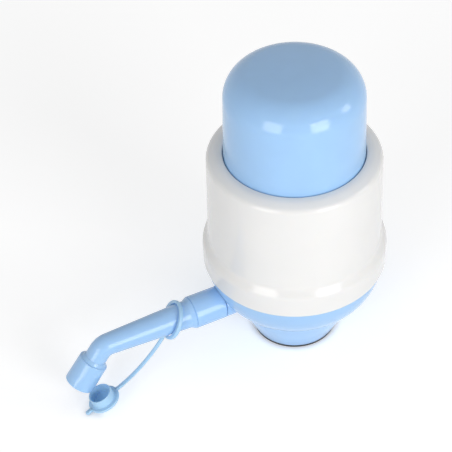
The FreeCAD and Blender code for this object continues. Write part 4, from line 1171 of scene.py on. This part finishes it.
def lamp(name, azimuth, elevation, distance, width, height, watts):
    """Rectangular lamp that faces the pump."""
    data = bpy.data.lights.new(name, "AREA")
    data.shape = "RECTANGLE"
    data.size, data.size_y, data.energy = width, height, watts
    made = added(name, data)
    way = direction(azimuth, elevation)
    aim = Vector((0, 0, (CAD_BOX[0].z + CAD_BOX[1].z) / 2))
    made.location = aim + way * distance
    made.rotation_euler = (-way).to_track_quat("-Z", "Y").to_euler()


def seen_directly(tree):
    """1 where a ray comes from the camera, or from a gloss or glass surface."""
    path = node(tree, "ShaderNodeLightPath")
    mirror = maths(tree, "MAXIMUM", path.outputs["Is Glossy Ray"], path.outputs["Is Transmission Ray"])
    return maths(tree, "MAXIMUM", path.outputs["Is Camera Ray"], mirror)


class PUMP_OT_stage(bpy.types.Operator):
    """Makes the floor, the even light, the lamps and the camera"""
    bl_idname = "pump.stage"
    bl_label = "Stage"

    def execute(self, context):
        scene = context.scene
        stage = scene.pump_stage
        half = stage.floor_size / 2
        mesh = bpy.data.meshes.new("floor")
        mesh.from_pydata([(-half, -half, 0), (half, -half, 0), (half, half, 0), (-half, half, 0)], [],
                         [(0, 1, 2, 3)])
        floor = added("floor", mesh)
        paper = bpy.data.materials.new("pale paper")
        paper.use_nodes = True
        tree = paper.node_tree
        tree.nodes.clear()
        speckle = ranged(tree, noise(tree, PAPER_SCALE, detail=3.0), PAPER_DARKEST, 1.0)
        tone = node(tree, "ShaderNodeVectorMath", {"operation": "SCALE"}, i0=tuple(scene.pump_colours.floor),
                    Scale=speckle)
        matt = node(tree, "ShaderNodeBsdfDiffuse", Color=tone)
        spot = node(tree, "ShaderNodeTexCoord").outputs["Object"]
        reach = node(tree, "ShaderNodeVectorMath", {"operation": "LENGTH"}, i0=spot).outputs["Value"]
        white = node(tree, "ShaderNodeMapRange", Value=reach, From_Min=stage.near_floor,
                     From_Max=stage.far_floor, To_Min=stage.floor_glow, To_Max=stage.far_glow)
        shade = node(tree, "ShaderNodeAmbientOcclusion", {"samples": SHADE_SAMPLES},
                     Distance=stage.contact_shade)
        lit = maths(tree, "MULTIPLY", white, shade.outputs["AO"])
        glow = node(tree, "ShaderNodeEmission", Strength=maths(tree, "MULTIPLY", seen_directly(tree), lit))
        both = node(tree, "ShaderNodeAddShader", i0=matt, i1=glow)
        node(tree, "ShaderNodeOutputMaterial", Surface=both)
        mesh.materials.append(paper)

        world = bpy.data.worlds.new("studio")
        scene.world = world
        world.use_nodes = True
        tree = world.node_tree
        tree.nodes.clear()
        even, white = (node(tree, "ShaderNodeBackground", Color=(1, 1, 1, 1), Strength=strength)
                       for strength in (stage.sky, 1.0))
        mixed = node(tree, "ShaderNodeMixShader", Fac=seen_directly(tree), i1=even, i2=white)
        node(tree, "ShaderNodeOutputWorld", Surface=mixed)

        boxes = (("left softbox", stage.left_azimuth, stage.left_power),
                 ("right softbox", stage.right_azimuth, stage.right_power))
        for name, azimuth, watts in boxes:
            lamp(name, azimuth, stage.box_elevation, stage.box_distance, stage.box_width, stage.box_height,
                 watts)
        lamp("fill lamp", stage.fill_azimuth, stage.fill_elevation, stage.box_distance, stage.box_width / 2,
             stage.box_height / 2, stage.fill_power)

        data = bpy.data.cameras.new("camera")
        data.sensor_width, data.lens = SENSOR_WIDTH, stage.lens
        data.clip_start, data.clip_end = CLIP_START, CLIP_END
        camera = added("camera", data)
        back = direction(stage.azimuth, stage.elevation)
        level = Vector((math.cos(stage.azimuth), math.sin(stage.azimuth), 0))
        upright = back.cross(level)
        right = level * math.cos(stage.roll) + upright * math.sin(stage.roll)
        top = upright * math.cos(stage.roll) - level * math.sin(stage.roll)
        camera.matrix_world = frame_matrix(Vector(stage.aim) + back * stage.distance, right, top, back)
        scene.camera = camera
        scene.view_settings.view_transform = "Standard"
        return {"FINISHED"}


OPERATORS = (
    PUMP_OT_push_cap, PUMP_OT_housing, PUMP_OT_bowl, PUMP_OT_neck, PUMP_OT_spout, PUMP_OT_tether,
    PUMP_OT_squeeze, PUMP_OT_inner_parts, PUMP_OT_stage)


class PUMP_PT_panel(bpy.types.Panel):
    """Lists the pump's operators and its sizes"""
    bl_idname = "PUMP_PT_panel"
    bl_label = "Jug hand pump"
    bl_space_type = "VIEW_3D"
    bl_region_type = "UI"
    bl_category = "Pump"

    def draw(self, context):
        for operator in OPERATORS:
            self.layout.operator(operator.bl_idname)
        for name, group in GROUPS.items():
            box = self.layout.box()
            box.label(text=group.__doc__)
            for key in group.__annotations__:
                box.prop(getattr(context.scene, name), key)


def register():
    for name, group in GROUPS.items():
        bpy.utils.register_class(group)
        setattr(bpy.types.Scene, name, bpy.props.PointerProperty(type=group))
    for made in (*OPERATORS, PUMP_PT_panel):
        bpy.utils.register_class(made)


def unregister():
    for made in (PUMP_PT_panel, *reversed(OPERATORS)):
        bpy.utils.unregister_class(made)
    for name, group in GROUPS.items():
        delattr(bpy.types.Scene, name)
        bpy.utils.unregister_class(group)


def main():
    register()
    bpy.ops.pump.push_cap()
    bpy.ops.pump.housing()
    bpy.ops.pump.bowl()
    bpy.ops.pump.neck()
    bpy.ops.pump.spout()
    bpy.ops.pump.tether()
    bpy.ops.pump.squeeze()
    bpy.ops.pump.inner_parts()
    bpy.ops.pump.stage()


if __name__ == "__main__":
    main()
